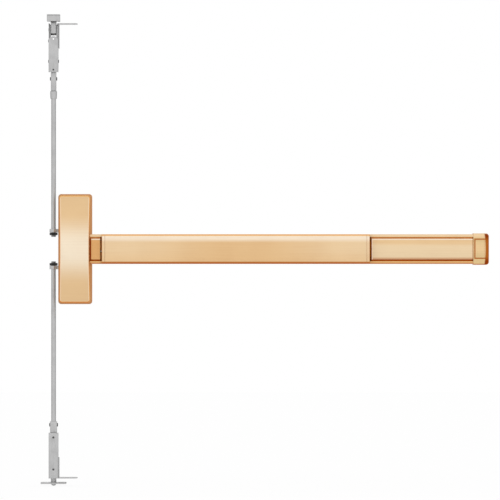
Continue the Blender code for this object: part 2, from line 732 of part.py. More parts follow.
def lever(name, way, material):
    """Two-armed lever, drawn about its pivot and set at its rest angle."""
    low = -LEVER_THICKNESS
    rod_length = LEVER_ROD_ARM / math.cos(LEVER_HALF_SWING / 2)
    drive_length = LEVER_DRIVE_ARM / math.cos(LEVER_HALF_SWING / 2)
    rod_arm = [(x, way * z) for x, z in lever_arm(rod_length, LEVER_END_RADIUS, True)]
    drive_arm = [(x, way * z) for x, z in lever_arm(drive_length, LEVER_END_RADIUS, False)]
    piece = extrusion(name, rod_arm, "Y", low, 0.0, material)
    join(piece, extrusion("extra", drive_arm, "Y", low, 0.0))
    cut(piece, cylinder("cutter", "Y", (0, 0), LEVER_PIVOT_RADIUS + FIT_GAP, low - 0.001, 0.001))
    rod_play = LEVER_ROD_ARM / math.cos(LEVER_HALF_SWING) - rod_length + FIT_GAP
    rod_slot = slot_outline((-rod_length - rod_play, 0), (-rod_length + rod_play, 0),
                            SLIDE_PIN_RADIUS + FIT_GAP)
    drive_play = LEVER_DRIVE_ARM / math.cos(LEVER_HALF_SWING) - drive_length + FIT_GAP
    drive_slot = slot_outline((0, -way * (drive_length + drive_play)),
                              (0, -way * (drive_length - drive_play)), YOKE_PIN_RADIUS + FIT_GAP)
    cut(piece, extrusion("cutter", rod_slot, "Y", low - 0.001, 0.001),
        extrusion("cutter", drive_slot, "Y", low - 0.001, 0.001))
    piece.location = (LEVER_PIVOT_X, -LEVER_BACK_DEPTH, way * LEVER_PIVOT_Z)
    piece.rotation_euler = (0.0, way * LEVER_HALF_SWING, 0.0)
    return piece


def drive_yoke(material):
    """Plate on the drive bar's end with one pin for each lever."""
    front = -(YOKE_BACK + YOKE_THICKNESS)
    start = YOKE_PIN_X - YOKE_PIN_INSET
    outline = rounded_rectangle((start, -YOKE_HALF_HEIGHT), (start + YOKE_LENGTH, YOKE_HALF_HEIGHT),
                                YOKE_CORNER_RADIUS)
    yoke = extrusion("drive_yoke", outline, "Y", front, -YOKE_BACK, material)
    for way in (1, -1):
        pin = cylinder("extra", "Y", (YOKE_PIN_X, way * YOKE_PIN_Z), YOKE_PIN_RADIUS,
                       -(YOKE_BACK + 0.001), -(LEVER_BACK_DEPTH + SLIDE_GAP))
        join(yoke, pin)
    tab_top = DRIVE_BAR_LOW - FIT_GAP
    tab = block("extra", (DRIVE_BAR_START, -(YOKE_BACK + 0.001), tab_top - 0.002),
                (start + YOKE_LENGTH, -DRIVE_BAR_BACK_DEPTH, tab_top))
    return join(yoke, tab)


def rail_channel(material):
    """Drawn channel, open to the front, with a lip and a short return along each edge."""
    half = [
        (-RAIL_BACK, RAIL_HALF),
        (-RAIL_DEPTH, RAIL_HALF),
        (-RAIL_DEPTH, LIP_EDGE),
        (-LIP_RETURN_END, LIP_EDGE),
        (-LIP_RETURN_END, LIP_EDGE + LIP_WALL),
        (-(RAIL_DEPTH - LIP_WALL), LIP_EDGE + LIP_WALL),
        (-(RAIL_DEPTH - LIP_WALL), RAIL_INNER_HALF),
        (-RAIL_FLOOR, RAIL_INNER_HALF),
    ]
    return extrusion("rail_channel", mirrored(half), "X", RAIL_START, RAIL_END, material)


def cover_plate(name, low, high, material):
    """Raised plate that snaps in behind the rail's lips and leaves a groove along each side."""
    edge = LIP_EDGE - GROOVE_WIDTH
    flange = RAIL_INNER_HALF - SLIDE_GAP
    front = RAIL_DEPTH + PLATE_PROUD
    seat = LIP_RETURN_END - FIT_GAP
    half = [
        (-(seat - PLATE_THICKNESS), edge - PLATE_THICKNESS),
        (-(seat - PLATE_THICKNESS), flange),
        (-seat, flange),
        (-seat, edge),
        (-(front - PLATE_CHAMFER), edge),
        (-front, edge - PLATE_CHAMFER),
    ]
    half = [(-(front - PLATE_THICKNESS), edge - PLATE_THICKNESS)] + half
    return extrusion(name, mirrored(half), "X", low, high, material)


def push_pad(material):
    """Pressed bar face with rounded long edges and two legs that run inside the rail's lips."""
    rim = PAD_FRONT - PAD_RIM_DEPTH
    radius = PAD_EDGE_RADIUS
    leg_outer = LIP_EDGE - SLIDE_GAP - 0.0002
    back = PAD_FRONT - PAD_PLATE
    half = [(-rim, RAIL_HALF - PAD_RIM_WALL), (-rim, RAIL_HALF)]
    half += [(-(PAD_FRONT - radius) - a, RAIL_HALF - radius + b)
             for a, b in [(radius * math.sin(t), radius * math.cos(t))
                          for t in (0.0, math.pi / 6, math.pi / 3, math.pi / 2)]]
    half = half[::-1]
    half += [
        (-back, RAIL_HALF - PAD_RIM_WALL),
        (-back, leg_outer),
        (-PAD_LEG_REACH, leg_outer),
        (-PAD_LEG_REACH, leg_outer - PAD_LEG_WALL),
        (-back, leg_outer - PAD_LEG_WALL),
    ]
    return extrusion("push_pad", mirrored(half), "X", PAD_START + PAD_END_WIDTH + FIT_GAP,
                     PAD_END - PAD_END_WIDTH - FIT_GAP, material)


def pad_end(name, low, high, material):
    """Moulded end of the push pad, with the same round long edges as its face."""
    radius = PAD_EDGE_RADIUS
    rim = PAD_FRONT - PAD_RIM_DEPTH
    outline = []
    for way in (1, -1):
        corner = [(-rim, way * RAIL_HALF)]
        for turn in (0, 30, 60, 90):
            t = math.radians(turn)
            corner.append((-(PAD_FRONT - radius) - radius * math.sin(t),
                           way * (RAIL_HALF - radius + radius * math.cos(t))))
        outline += corner if way == 1 else corner[::-1]
    return extrusion(name, outline, "X", low, high, material)


def crank_bracket(name, centre_x, material):
    """U-shaped bracket on the rail's floor that holds a crank's pivot pin."""
    half = CRANK_BRACKET_HALF_HEIGHT
    wall = CRANK_BRACKET_WALL
    back = RAIL_FLOOR + FIT_GAP
    front = CRANK_PIVOT_DEPTH + CRANK_PIVOT_RADIUS + CRANK_BRACKET_RIM
    outline = [
        (-back, -half), (-front, -half), (-front, -half + wall), (-(back + wall), -half + wall),
        (-(back + wall), half - wall), (-front, half - wall), (-front, half), (-back, half),
    ]
    piece = extrusion(name, outline, "X", centre_x - CRANK_BRACKET_HALF_WIDTH,
                      centre_x + CRANK_BRACKET_HALF_WIDTH, material)
    hole = cylinder("cutter", "Z", (centre_x, -CRANK_PIVOT_DEPTH), CRANK_PIVOT_RADIUS + FIT_GAP,
                    -half - 0.001, half + 0.001)
    return cut(piece, hole)


def crank_pivot(name, centre_x, material):
    """Headed pin through the bracket and the crank."""
    top = CRANK_BRACKET_HALF_HEIGHT
    profile = [
        (CRANK_PIVOT_RADIUS, -top - CRANK_PIVOT_TAIL),
        (CRANK_PIVOT_RADIUS, top + FIT_GAP),
        (CRANK_PIVOT_RADIUS + CRANK_PIVOT_HEAD_RIM, top + FIT_GAP),
        (CRANK_PIVOT_RADIUS + CRANK_PIVOT_HEAD_RIM, top + CRANK_PIVOT_HEAD),
    ]
    return turned(name, "Z", (centre_x, -CRANK_PIVOT_DEPTH), profile, material)


def bell_crank(name, centre_x, material):
    """Cast crank with one arm to the pad and one to the drive bar, set at its rest angle."""
    half = CRANK_THICKNESS / 2
    hub = CRANK_HUB_RADIUS
    end = CRANK_END_RADIUS
    pad_arm = arc((0, 0), hub, -90, 90, 8) + arc((-CRANK_PAD_ARM, 0), end, 90, 270, 6)
    bar_arm = arc((0, 0), hub, 180, 360, 8) + arc((0, CRANK_BAR_ARM), CRANK_BAR_END_RADIUS, 0, 180, 6)
    crank = extrusion(name, pad_arm, "Z", -half, half, material)
    join(crank, extrusion("extra", bar_arm, "Z", -half, half))
    boss_top = CRANK_BRACKET_HALF_HEIGHT - CRANK_BRACKET_WALL - FIT_GAP
    join(crank, cylinder("extra", "Z", (0, 0), hub - 0.0005, -boss_top, boss_top))
    join(crank, cylinder("extra", "Z", (-CRANK_PAD_ARM, 0), CRANK_PIN_RADIUS, 0.0,
                         LUG_LOW + LUG_THICKNESS + 0.001, sides=12))
    join(crank, cylinder("extra", "Z", (0, CRANK_BAR_ARM), CRANK_PIN_RADIUS,
                         DRIVE_BAR_LOW - 0.001, 0.0, sides=12))
    cut(crank, cylinder("cutter", "Z", (0, 0), CRANK_PIVOT_RADIUS + FIT_GAP, -0.02, 0.02))
    crank.location = (centre_x, -CRANK_PIVOT_DEPTH, 0.0)
    crank.rotation_euler = (0.0, 0.0, CRANK_HALF_SWING)
    return crank


def pad_lug(name, crank_x, material):
    """Bracket on the back of the pad, with a slot for the crank's pin."""
    mean_arm = CRANK_PAD_ARM * (1 + math.cos(CRANK_HALF_SWING)) / 2
    play = CRANK_PAD_ARM * (1 - math.cos(CRANK_HALF_SWING)) / 2 + FIT_GAP
    centre_x = crank_x - mean_arm
    pin_y = -(CRANK_PIVOT_DEPTH + PAD_TRAVEL / 2)
    seat = PAD_FRONT - PAD_PLATE - FIT_GAP
    reach = CRANK_PIN_RADIUS + PAD_LUG_RIM
    lug = block(name, (centre_x - LUG_FLANGE_HALF_WIDTH, -seat, -LUG_FLANGE_HALF_HEIGHT),
                (centre_x + LUG_FLANGE_HALF_WIDTH, -(seat - 0.002), LUG_FLANGE_HALF_HEIGHT), material)
    arm = block("extra", (centre_x - LUG_HALF_WIDTH, -(seat - 0.001), LUG_LOW),
                (centre_x + LUG_HALF_WIDTH, pin_y + reach, LUG_LOW + LUG_THICKNESS))
    join(lug, arm)
    slot = slot_outline((centre_x - play, pin_y), (centre_x + play, pin_y), CRANK_PIN_RADIUS + FIT_GAP)
    return cut(lug, extrusion("cutter", slot, "Z", LUG_LOW - 0.001, LUG_LOW + LUG_THICKNESS + 0.001))


def drive_bar(material):
    """Flat bar through the rail, with a slot for each crank's pin and a seat for the spring."""
    end = RIGHT_CRANK_X + DRIVE_BAR_OVERRUN
    bar = block("drive_bar", (DRIVE_BAR_START, -DRIVE_BAR_FRONT, DRIVE_BAR_LOW),
                (end, -DRIVE_BAR_BACK_DEPTH, DRIVE_BAR_TOP), material)
    seat_reach = SPRING_RADIUS + SPRING_WIRE_RADIUS
    seat_end = SPRING_START - FIT_GAP
    join(bar, block("extra", (seat_end - SPRING_SEAT_THICKNESS, DRIVE_BAR_MID_Y - seat_reach + 0.001,
                              DRIVE_BAR_MID_Z - seat_reach),
                    (seat_end, DRIVE_BAR_MID_Y + seat_reach - 0.001, DRIVE_BAR_MID_Z + seat_reach)))
    mean_reach = CRANK_BAR_ARM * (1 + math.cos(CRANK_HALF_SWING)) / 2
    play = CRANK_BAR_ARM * (1 - math.cos(CRANK_HALF_SWING)) / 2 + FIT_GAP
    pin_y = -CRANK_PIVOT_DEPTH + mean_reach
    for crank_x in (LEFT_CRANK_X, RIGHT_CRANK_X):
        pin_x = crank_x - BAR_TRAVEL / 2
        slot = slot_outline((pin_x, pin_y - play), (pin_x, pin_y + play), CRANK_PIN_RADIUS + FIT_GAP)
        cut(bar, extrusion("cutter", slot, "Z", DRIVE_BAR_LOW - 0.001, DRIVE_BAR_TOP + 0.001))
    return bar


def spring_stop(material):
    """Angle on the rail's floor that the return spring pushes against, open for the drive bar."""
    low = SPRING_START + SPRING_LENGTH + FIT_GAP
    high = low + SPRING_SEAT_THICKNESS
    back = -(RAIL_FLOOR + FIT_GAP)
    front = DRIVE_BAR_MID_Y - SPRING_RADIUS - SPRING_STOP_RIM
    bottom, top = DRIVE_BAR_MID_Z - STOP_HALF_HEIGHT, DRIVE_BAR_MID_Z + STOP_HALF_HEIGHT
    stop = block("spring_stop", (low, front, bottom), (high, back, top), material)
    join(stop, block("extra", (low + 0.001, back - STOP_FOOT_THICKNESS, bottom),
                     (high + STOP_FOOT_LENGTH, back, top)))
    gap = SLIDE_GAP
    window = block("cutter", (low - 0.001, -DRIVE_BAR_FRONT - gap, DRIVE_BAR_LOW - gap),
                   (high + 0.001, -DRIVE_BAR_BACK_DEPTH + gap, DRIVE_BAR_TOP + gap))
    return cut(stop, window)


def end_bracket(material):
    """Bracket on the door under the rail's far end, with a folded tab for the cap's screw."""
    low = DEVICE_END - END_CAP_WALL - BRACKET_END_GAP - BRACKET_LENGTH
    high = low + BRACKET_LENGTH
    half = RAIL_INNER_HALF
    plate = block("end_bracket", (low, -BRACKET_THICKNESS, -half), (high, 0.0, half), material)
    tab_low = RAIL_END + SLIDE_GAP
    tab = block("extra", (tab_low, -BRACKET_TAB_DEPTH, -half), (high, -0.001, -half + BRACKET_THICKNESS))
    join(plate, tab)
    screw_x = (tab_low + high) / 2
    cut(plate, cylinder("cutter", "Z", (screw_x, -BRACKET_TAB_DEPTH / 2 - 0.002),
                        COVER_SCREW_RADIUS + FIT_GAP, -half - 0.001, -half + BRACKET_THICKNESS + 0.001))
    return plate


def cap_block(name, start, inset, back, material=None):
    """The end cap's outer form, or the same form moved in by an inset."""
    half = RAIL_HALF + FIT_GAP + END_CAP_WALL - inset
    end = DEVICE_END - inset
    front = RAIL_DEPTH + PLATE_PROUD + FIT_GAP + END_CAP_WALL - inset
    corner = END_CAP_CORNER_RADIUS - inset
    side = END_CAP_SIDE_RADIUS - inset
    face = [(start, -half)] + arc((end - corner, corner - half), corner, -90, 0, 4)
    face += arc((end - corner, half - corner), corner, 0, 90, 4) + [(start, half)]
    plan = [(start, back), (start, -front)]
    plan += arc((end - side, side - front), side, 270, 360, 5) + [(end, back)]
    piece = extrusion(name, face, "Y", -front - 0.001, back, material)
    combine(piece, extrusion("cutter", plan, "Z", -half - 0.001, half + 0.001), "INTERSECT")
    return piece


def end_cap(material):
    """Cast cap over the rail's end, open towards the rail and the door, with a raised front panel."""
    cap = cap_block("end_cap", END_CAP_START, 0.0, 0.0, material)
    cut(cap, cap_block("cutter", END_CAP_START - 0.002, END_CAP_WALL, 0.001))
    front = -(RAIL_DEPTH + PLATE_PROUD + FIT_GAP + END_CAP_WALL)
    low_x = END_CAP_START + END_PANEL_MARGIN
    high_x = low_x + END_PANEL_LENGTH
    half = END_PANEL_HEIGHT / 2
    rings = []
    for inset, y in ((0.0, front + 0.0005), (0.0, front), (END_PANEL_DRAFT, front - END_PANEL_RISE)):
        outline = rounded_rectangle((low_x + inset, -half + inset), (high_x - inset, half - inset),
                                    END_PANEL_RADIUS, 3)
        rings.append([Vector((x, y, z)) for x, z in outline])
    panel = loft("extra", rings)
    join(cap, panel)
    screw = (end_screw_x(), -(BRACKET_TAB_DEPTH / 2 + 0.002))
    cut(cap, cylinder("cutter", "Z", screw, COVER_SCREW_RADIUS + FIT_GAP,
                      -RAIL_HALF - 0.004, -RAIL_HALF + 0.002))
    return cap


def end_screw_x():
    """Middle of the bracket's tab, where the cap's screw goes in."""
    return (RAIL_END + SLIDE_GAP + DEVICE_END - END_CAP_WALL - BRACKET_END_GAP) / 2


def end_cap_screw(material):
    """Round-headed screw through the cap's underside into the bracket's tab."""
    centre = (end_screw_x(), -(BRACKET_TAB_DEPTH / 2 + 0.002))
    seat = -(RAIL_HALF + END_CAP_WALL + FIT_GAP * 2)
    profile = [
        (COVER_SCREW_RADIUS, seat + COVER_SCREW_LENGTH),
        (COVER_SCREW_RADIUS, seat),
        (COVER_SCREW_HEAD_RADIUS, seat),
        (COVER_SCREW_HEAD_RADIUS, seat - CAP_SCREW_RIM),
        (COVER_SCREW_HEAD_RADIUS * 0.6, seat - CAP_SCREW_CROWN),
    ]
    return turned("end_cap_screw", "Z", centre, profile, material)


def slide_housing(material):
    """Pressed channel in the door, open to the head, with a window in each side and a bolted tab."""
    half_width = HOUSING_WIDTH / 2
    low = (SLIDE_X - half_width, HOUSING_BACK - HOUSING_DEPTH, -HOUSING_HALF_HEIGHT)
    high = (SLIDE_X + half_width, HOUSING_BACK, HOUSING_HALF_HEIGHT)
    corner = HOUSING_CORNER
    side = [
        (low[1] + corner, low[2]), (high[1], low[2]), (high[1], high[2]), (low[1] + corner, high[2]),
        (low[1], high[2] - corner), (low[1], low[2] + corner),
    ]
    housing = extrusion("slide_housing", side, "X", low[0], high[0], material)
    cut(housing, block("cutter", (low[0] + HOUSING_WALL, low[1] - 0.001, low[2] - 0.001),
                       (high[0] - HOUSING_WALL, high[1] - HOUSING_WALL, high[2] + 0.001)))
    window = rounded_rectangle((low[1] + HOUSING_WINDOW_FRONT, low[2] + HOUSING_WINDOW_END),
                               (high[1] - HOUSING_WINDOW_BACK, high[2] - HOUSING_WINDOW_END), 0.003, 3)
    cut(housing, extrusion("cutter", window, "X", low[0] - 0.001, high[0] + 0.001))
    tab = block("extra", (high[0] - 0.001, high[1] - HOUSING_WALL, low[2] + 0.002),
                (high[0] - 0.001 + HOUSING_TAB_LENGTH, high[1], high[2] - 0.002))
    join(housing, tab)
    for way in (1, -1):
        cut(housing, cylinder("cutter", "Y", (0, way * THROUGH_BOLT_Z), THROUGH_BOLT_RADIUS + FIT_GAP,
                              high[1] - HOUSING_WALL - 0.001, high[1] + 0.001))
    return housing


def slide(name, way, material):
    """Sliding strip with the lever's pin and a curved arm whose eye holds the rod."""
    half = HOUSING_WIDTH / 2 - HOUSING_WALL - FIT_GAP
    back = HOUSING_BACK - HOUSING_WALL - FIT_GAP
    arm_low = SLIDE_ARM_LOW
    arm_high = arm_low + SLIDE_ARM_HEIGHT

    def span(first, last):
        return sorted((way * first, way * last))

    low, high = span(SLIDE_INNER_END, arm_high)
    strip = block(name, (SLIDE_X - half, back - SLIDE_DEPTH, low), (SLIDE_X + half, back, high), material)
    arm = [(SLIDE_X + half, back - SLIDE_DEPTH), (SLIDE_X + half, back)] + [
        (SLIDE_X - half - SLIDE_ARM_STEP, back), (ROD_X, back), (ROD_X, back - SLIDE_DEPTH * 0.8),
        (SLIDE_X - half - SLIDE_ARM_TAPER, back - SLIDE_DEPTH * 0.8), (SLIDE_X - half, back - SLIDE_DEPTH),
    ]
    low, high = span(arm_low, arm_high)
    join(strip, extrusion("extra", arm, "Z", low, high))
    join(strip, cylinder("extra", "Z", (ROD_X, ROD_Y), SLIDE_EYE_RADIUS, low, high, sides=ROD_SIDES))
    cut(strip, cylinder("cutter", "Z", (ROD_X, ROD_Y), ROD_RADIUS + FIT_GAP, low - 0.001, high + 0.001,
                        sides=ROD_SIDES))
    join(strip, cylinder("extra", "Y", (SLIDE_X, way * SLIDE_PIN_Z), SLIDE_PIN_RADIUS,
                         -(LEVER_FRONT + 0.001), back - SLIDE_DEPTH + 0.001))
    return strip


def rod_nut(name, way, material):
    """Hexagon nut on the rod's end, on the inner side of the slide's eye."""
    high = SLIDE_ARM_LOW - FIT_GAP
    low, high = sorted((way * (high - NUT_HEIGHT), way * high))
    corner = NUT_ACROSS_FLATS / 2 / math.cos(math.pi / 6)
    nut = cylinder(name, "Z", (ROD_X, ROD_Y), corner, low, high, material, sides=6)
    return cut(nut, cylinder("cutter", "Z", (ROD_X, ROD_Y), ROD_RADIUS + FIT_GAP, low - 0.001, high + 0.001,
                             sides=ROD_SIDES))


def rod_fitting(material):
    """Cap on the top rod's end, with the threaded stud that the connector screws onto."""
    low = FITTING_TOP - FITTING_LENGTH
    profile = [
        (FITTING_RADIUS, low),
        (FITTING_LIP_RADIUS, FITTING_TOP - FITTING_TAPER),
        (FITTING_LIP_RADIUS, FITTING_TOP - FITTING_BEVEL),
        (FITTING_RADIUS - FITTING_BEVEL_INSET, FITTING_TOP),
        (STUD_RADIUS, FITTING_TOP),
        (STUD_RADIUS, FITTING_TOP + STUD_LENGTH),
    ]
    fitting = turned("top_rod_fitting", "Z", (ROD_X, ROD_Y), profile, material, sides=ROD_SIDES)
    bore = cylinder("cutter", "Z", (ROD_X, ROD_Y), ROD_RADIUS + FIT_GAP, low - 0.001, TOP_ROD_END + FIT_GAP,
                    sides=ROD_SIDES)
    return cut(fitting, bore)


def square_bar(name, width, low, high, material=None):
    """Square bar on the rod's line with small bevels along its edges."""
    half = width / 2
    outline = rounded_rectangle((ROD_X - half, ROD_Y - half), (ROD_X + half, ROD_Y + half),
                                SQUARE_BAR_CHAMFER, 1)
    return extrusion(name, outline, "Z", low, high, material)


def latch_connector(material):
    """Square bar between the top rod's stud and the latch slider."""
    low = CONNECTOR_LOW
    bar = square_bar("latch_connector", CONNECTOR_WIDTH, low, low + CONNECTOR_LENGTH, material)
    cut(bar, cylinder("cutter", "Z", (ROD_X, ROD_Y), STUD_RADIUS + FIT_GAP, low - 0.001,
                      low + STUD_LENGTH + FIT_GAP))
    cut(bar, cylinder("cutter", "X", (ROD_Y, connector_screw_z()), SET_SCREW_RADIUS + FIT_GAP,
                      ROD_X - 0.01, ROD_X + 0.01))
    cut(bar, cylinder("cutter", "X", (ROD_Y, SLIDER_PIN_Z), GUIDE_PIN_RADIUS + FIT_GAP,
                      ROD_X - 0.01, ROD_X + 0.01))
    return bar


def connector_screw_z():
    """Height of the cross screw over the threaded stud."""
    return TOP_CASE_LOW - CONNECTOR_SCREW_DROP


def cross_screw(name, width, height, material):
    """Cross screw that stands a little proud of both sides of a square bar."""
    head = SET_SCREW_RADIUS + SET_SCREW_HEAD_RIM
    reach = width / 2 + FIT_GAP
    rim, crown = reach + SET_SCREW_RIM, reach + SET_SCREW_RIM + SET_SCREW_CROWN
    profile = [
        (head * 0.8, ROD_X - crown), (head, ROD_X - rim), (head, ROD_X - reach),
        (SET_SCREW_RADIUS, ROD_X - reach), (SET_SCREW_RADIUS, ROD_X + reach),
        (head, ROD_X + reach), (head, ROD_X + rim), (head * 0.8, ROD_X + crown),
    ]
    return turned(name, "X", (ROD_Y, height), profile, material)


def latch_slider(material):
    """Two side plates and a web, raised and lowered by the connector inside the case.

    It is cut with the door's top edge at zero and then lifted into place, as the case is.
    """
    outer, inner = SLIDER_OUTER_HALF, SLIDER_INNER_HALF
    low, high = SLIDER_LOW - TOP_EDGE, SLIDER_TOP - TOP_EDGE
    link_z, guide_z = LINK_PIN_Z - TOP_EDGE, GUIDE_PIN_Z - TOP_EDGE
    slider = block("latch_slider", (ROD_X - outer, SLIDER_FRONT, low), (ROD_X + outer, SLIDER_BACK, high),
                   material)
    web_low = low + SLIDER_WEB_LOW
    web_high = web_low + SLIDER_WEB_HEIGHT
    for start, end in ((low - 0.001, web_low), (web_high, high + 0.001)):
        cut(slider, block("cutter", (ROD_X - inner, SLIDER_FRONT - 0.001, start),
                          (ROD_X + inner, SLIDER_BACK + 0.001, end)))
    swing = LINK_ARM * (1 - math.cos(math.radians(BOLT_SWING_DEG / 2)))
    link_slot = slot_outline((LINK_PIN_Y - swing - FIT_GAP, link_z), (LINK_PIN_Y + FIT_GAP, link_z),
                             LINK_PIN_RADIUS + FIT_GAP)
    guide_slot = slot_outline((ROD_Y, guide_z), (ROD_Y, guide_z + ROD_TRAVEL), GUIDE_PIN_RADIUS + SLIDE_GAP)
    pin_hole = circle((ROD_Y, low + SLIDER_PIN_RISE), GUIDE_PIN_RADIUS + FIT_GAP)
    far = outer + 0.001
    cut(slider, *[extrusion("cutter", outline, "X", ROD_X - far, ROD_X + far)
                  for outline in (link_slot, guide_slot, pin_hole)])
    return lifted(slider, TOP_EDGE)


def lifted(piece, height):
    """The piece, moved up by a height."""
    piece.location.z = height
    return piece


def cross_pin(name, centre, radius, low, high, material, head_radius=0.0, head_low=True, head_high=True):
    """Pin across a case, from low to high of the rod's line, with a flat head at the ends that have one."""
    profile = [(radius, ROD_X + low), (radius, ROD_X + high)]
    if head_radius and head_low:
        profile = [(head_radius, ROD_X + low - PIN_HEAD_THICKNESS), (head_radius, ROD_X + low)] + profile
    if head_radius and head_high:
        profile += [(head_radius, ROD_X + high), (head_radius, ROD_X + high + PIN_HEAD_THICKNESS)]
    return turned(name, "X", centre, profile, material)


def top_latch_case(material):
    """Folded case, open at the back and ends, with a short arched front and its pins' holes and slots."""
    low = -TOP_CASE_HEIGHT
    front, back = TOP_CASE_FRONT, TOP_CASE_BACK
    inner = CASE_INNER_HALF
    guide_z, pivot_z = GUIDE_PIN_Z - TOP_EDGE, BOLT_PIVOT_Z - TOP_EDGE
    slider_z = SLIDER_PIN_Z - TOP_EDGE
    side = [(front, low), (back - CASE_CORNER_RADIUS, low)]
    side += arc((back - CASE_CORNER_RADIUS, low + CASE_CORNER_RADIUS), CASE_CORNER_RADIUS, -90, 0, 4)[1:]
    side += arc((back - CASE_TOP_RADIUS, -CASE_TOP_RADIUS), CASE_TOP_RADIUS, 0, 90, 4)
    side += [(front + CASE_CHAMFER, 0.0), (front, -CASE_CHAMFER)]
    case = extrusion("top_latch_case", side, "X", ROD_X - CASE_HALF, ROD_X + CASE_HALF, material)
    cut(case, block("cutter", (ROD_X - inner, front + CASE_WALL, low - 0.001),
                    (ROD_X + inner, back + 0.001, 0.001)))
    arch_top = low + TOP_FRONT_WALL_HEIGHT
    arch_foot = arch_top - CASE_ARCH_RISE
    opening = [(ROD_X + inner, arch_foot), (ROD_X + inner, 0.001), (ROD_X - inner, 0.001),
               (ROD_X - inner, arch_foot)]
    for turn in (20, 40, 65, 90, 115, 140, 160):
        angle = math.radians(turn)
        opening.append((ROD_X - inner * math.cos(angle), arch_foot + CASE_ARCH_RISE * math.sin(angle)))
    cut(case, extrusion("cutter", opening, "Y", front - 0.001, front + CASE_WALL + 0.001))
    for z in (arch_foot - 0.0005, low + 0.0045):
        cut(case, cylinder("cutter", "Y", (ROD_X, z), CASE_SCREW_RADIUS,
                           front - 0.001, front + CASE_WALL + 0.001))
    slider_slot = slot_outline((ROD_Y, slider_z - ROD_TRAVEL), (ROD_Y, slider_z),
                               GUIDE_PIN_RADIUS + SLIDE_GAP)
    slant_end = (ROD_Y - GUIDE_SLANT_DEPTH, guide_z - GUIDE_SLANT_DROP)
    slant = slot_outline((ROD_Y, guide_z), slant_end, GUIDE_PIN_RADIUS + FIT_GAP)
    outlines = [circle((BOLT_PIVOT_Y, pivot_z), BOLT_PIVOT_RADIUS + FIT_GAP), slant, slider_slot,
                circle((ROD_Y, slider_z + 0.004), SLIDER_PIN_ENTRY_RADIUS)]
    rivets = (
        (back - 0.006, guide_z - 0.012),
        (front + 0.006, guide_z - 0.019),
        (back - 0.004, pivot_z - 0.012),
    )
    for rivet in rivets:
        outlines.append(circle(rivet, CASE_RIVET_RADIUS, 10))
    far = CASE_HALF + 0.001
    cut(case, *[extrusion("cutter", outline, "X", ROD_X - far, ROD_X + far) for outline in outlines])
    return lifted(case, TOP_EDGE)


def top_bolt(material):
    """Latch bolt that swings on a pin at its back, with a stepped nose."""
    y, z = BOLT_PIVOT_Y, BOLT_PIVOT_Z
    front = y + 0.0015 - BOLT_DEPTH
    top = TOP_EDGE + BOLT_REACH
    step = TOP_EDGE + BOLT_FRONT_REACH
    outline = [
        (front, z - 0.008), (front + 0.006, z - 0.012), (y - 0.004, z - 0.008),
    ]
    outline += arc((y, z), BOLT_HUB_RADIUS, -110, 60, 6)
    outline += [
        (y + 0.001, top - 0.005), (y - 0.003, top), (y - 0.010, top),
        (y - 0.0125, step + 0.0008), (front + 0.002, step), (front, step - 0.003),
    ]
    half = BOLT_WIDTH / 2
    bolt = extrusion("top_bolt", outline, "X", ROD_X - half, ROD_X + half, material)
    far = half + 0.001
    return cut(bolt, cylinder("cutter", "X", (y, z), BOLT_PIVOT_RADIUS + FIT_GAP, ROD_X - far, ROD_X + far),
               cylinder("cutter", "X", (LINK_PIN_Y, LINK_PIN_Z), LINK_PIN_RADIUS + FIT_GAP,
                        ROD_X - far, ROD_X + far))


def angle_bracket(name, way, edge, leg, material):
    """Angle with a drilled foot level with the door's edge and a leg beside the latch case."""
    start = ROD_X + CASE_HALF + FIT_GAP
    end = start + ANGLE_LENGTH
    front = ROD_Y - ANGLE_DEPTH / 2
    back = ROD_Y + ANGLE_DEPTH / 2
    chamfer = ANGLE_CHAMFER
    foot = [(start, front), (end - chamfer, front), (end, front + chamfer),
            (end, back - chamfer), (end - chamfer, back), (start, back)]
    low, high = sorted((edge, edge - way * ANGLE_THICKNESS))
    piece = extrusion(name, foot, "Z", low, high, material)
    leg_low, leg_high = sorted((edge - way * 0.0005, edge - way * leg))
    leg_front = ROD_Y - ANGLE_LEG_WIDTH / 2 - ANGLE_LEG_SHIFT
    join(piece, block("extra", (start, leg_front, leg_low),
                      (start + ANGLE_THICKNESS, leg_front + ANGLE_LEG_WIDTH, leg_high)))
    for along, across in ANGLE_HOLES:
        cut(piece, countersunk_hole("Z", (start + along, front + across), ANGLE_HOLE_RADIUS,
                                    ANGLE_SINK_RADIUS, edge, edge - way * ANGLE_THICKNESS))
    return piece


def top_strike_box(material):
    """Open-topped box in the frame head, with a window in its floor for the bolt."""
    half = STRIKE_BOX_WIDTH / 2
    front, back = STRIKE_BOX_FRONT, STRIKE_BOX_FRONT + STRIKE_BOX_DEPTH
    box = block("top_strike_box", (ROD_X - half, front, FRAME_FACE), (ROD_X + half, back, STRIKE_BOX_TOP),
                material)
    wall = STRIKE_WALL
    cut(box, block("cutter", (ROD_X - half + wall, front + wall, FRAME_FACE + wall),
                   (ROD_X + half - wall, back - wall, STRIKE_BOX_TOP + 0.001)))
    side_gap = BOLT_WIDTH / 2 + STRIKE_WINDOW_GAP
    cut(box, block("cutter", (ROD_X - side_gap, front + 0.0021, FRAME_FACE - 0.001),
                   (ROD_X + side_gap, back - 0.002, FRAME_FACE + wall + 0.001)))
    for across in (0.010, 0.023):
        cut(box, cylinder("cutter", "Z", (ROD_X + half - 0.0038, front + across), STRIKE_HOLE_RADIUS,
                          FRAME_FACE - 0.001, FRAME_FACE + wall + 0.001))
    return box


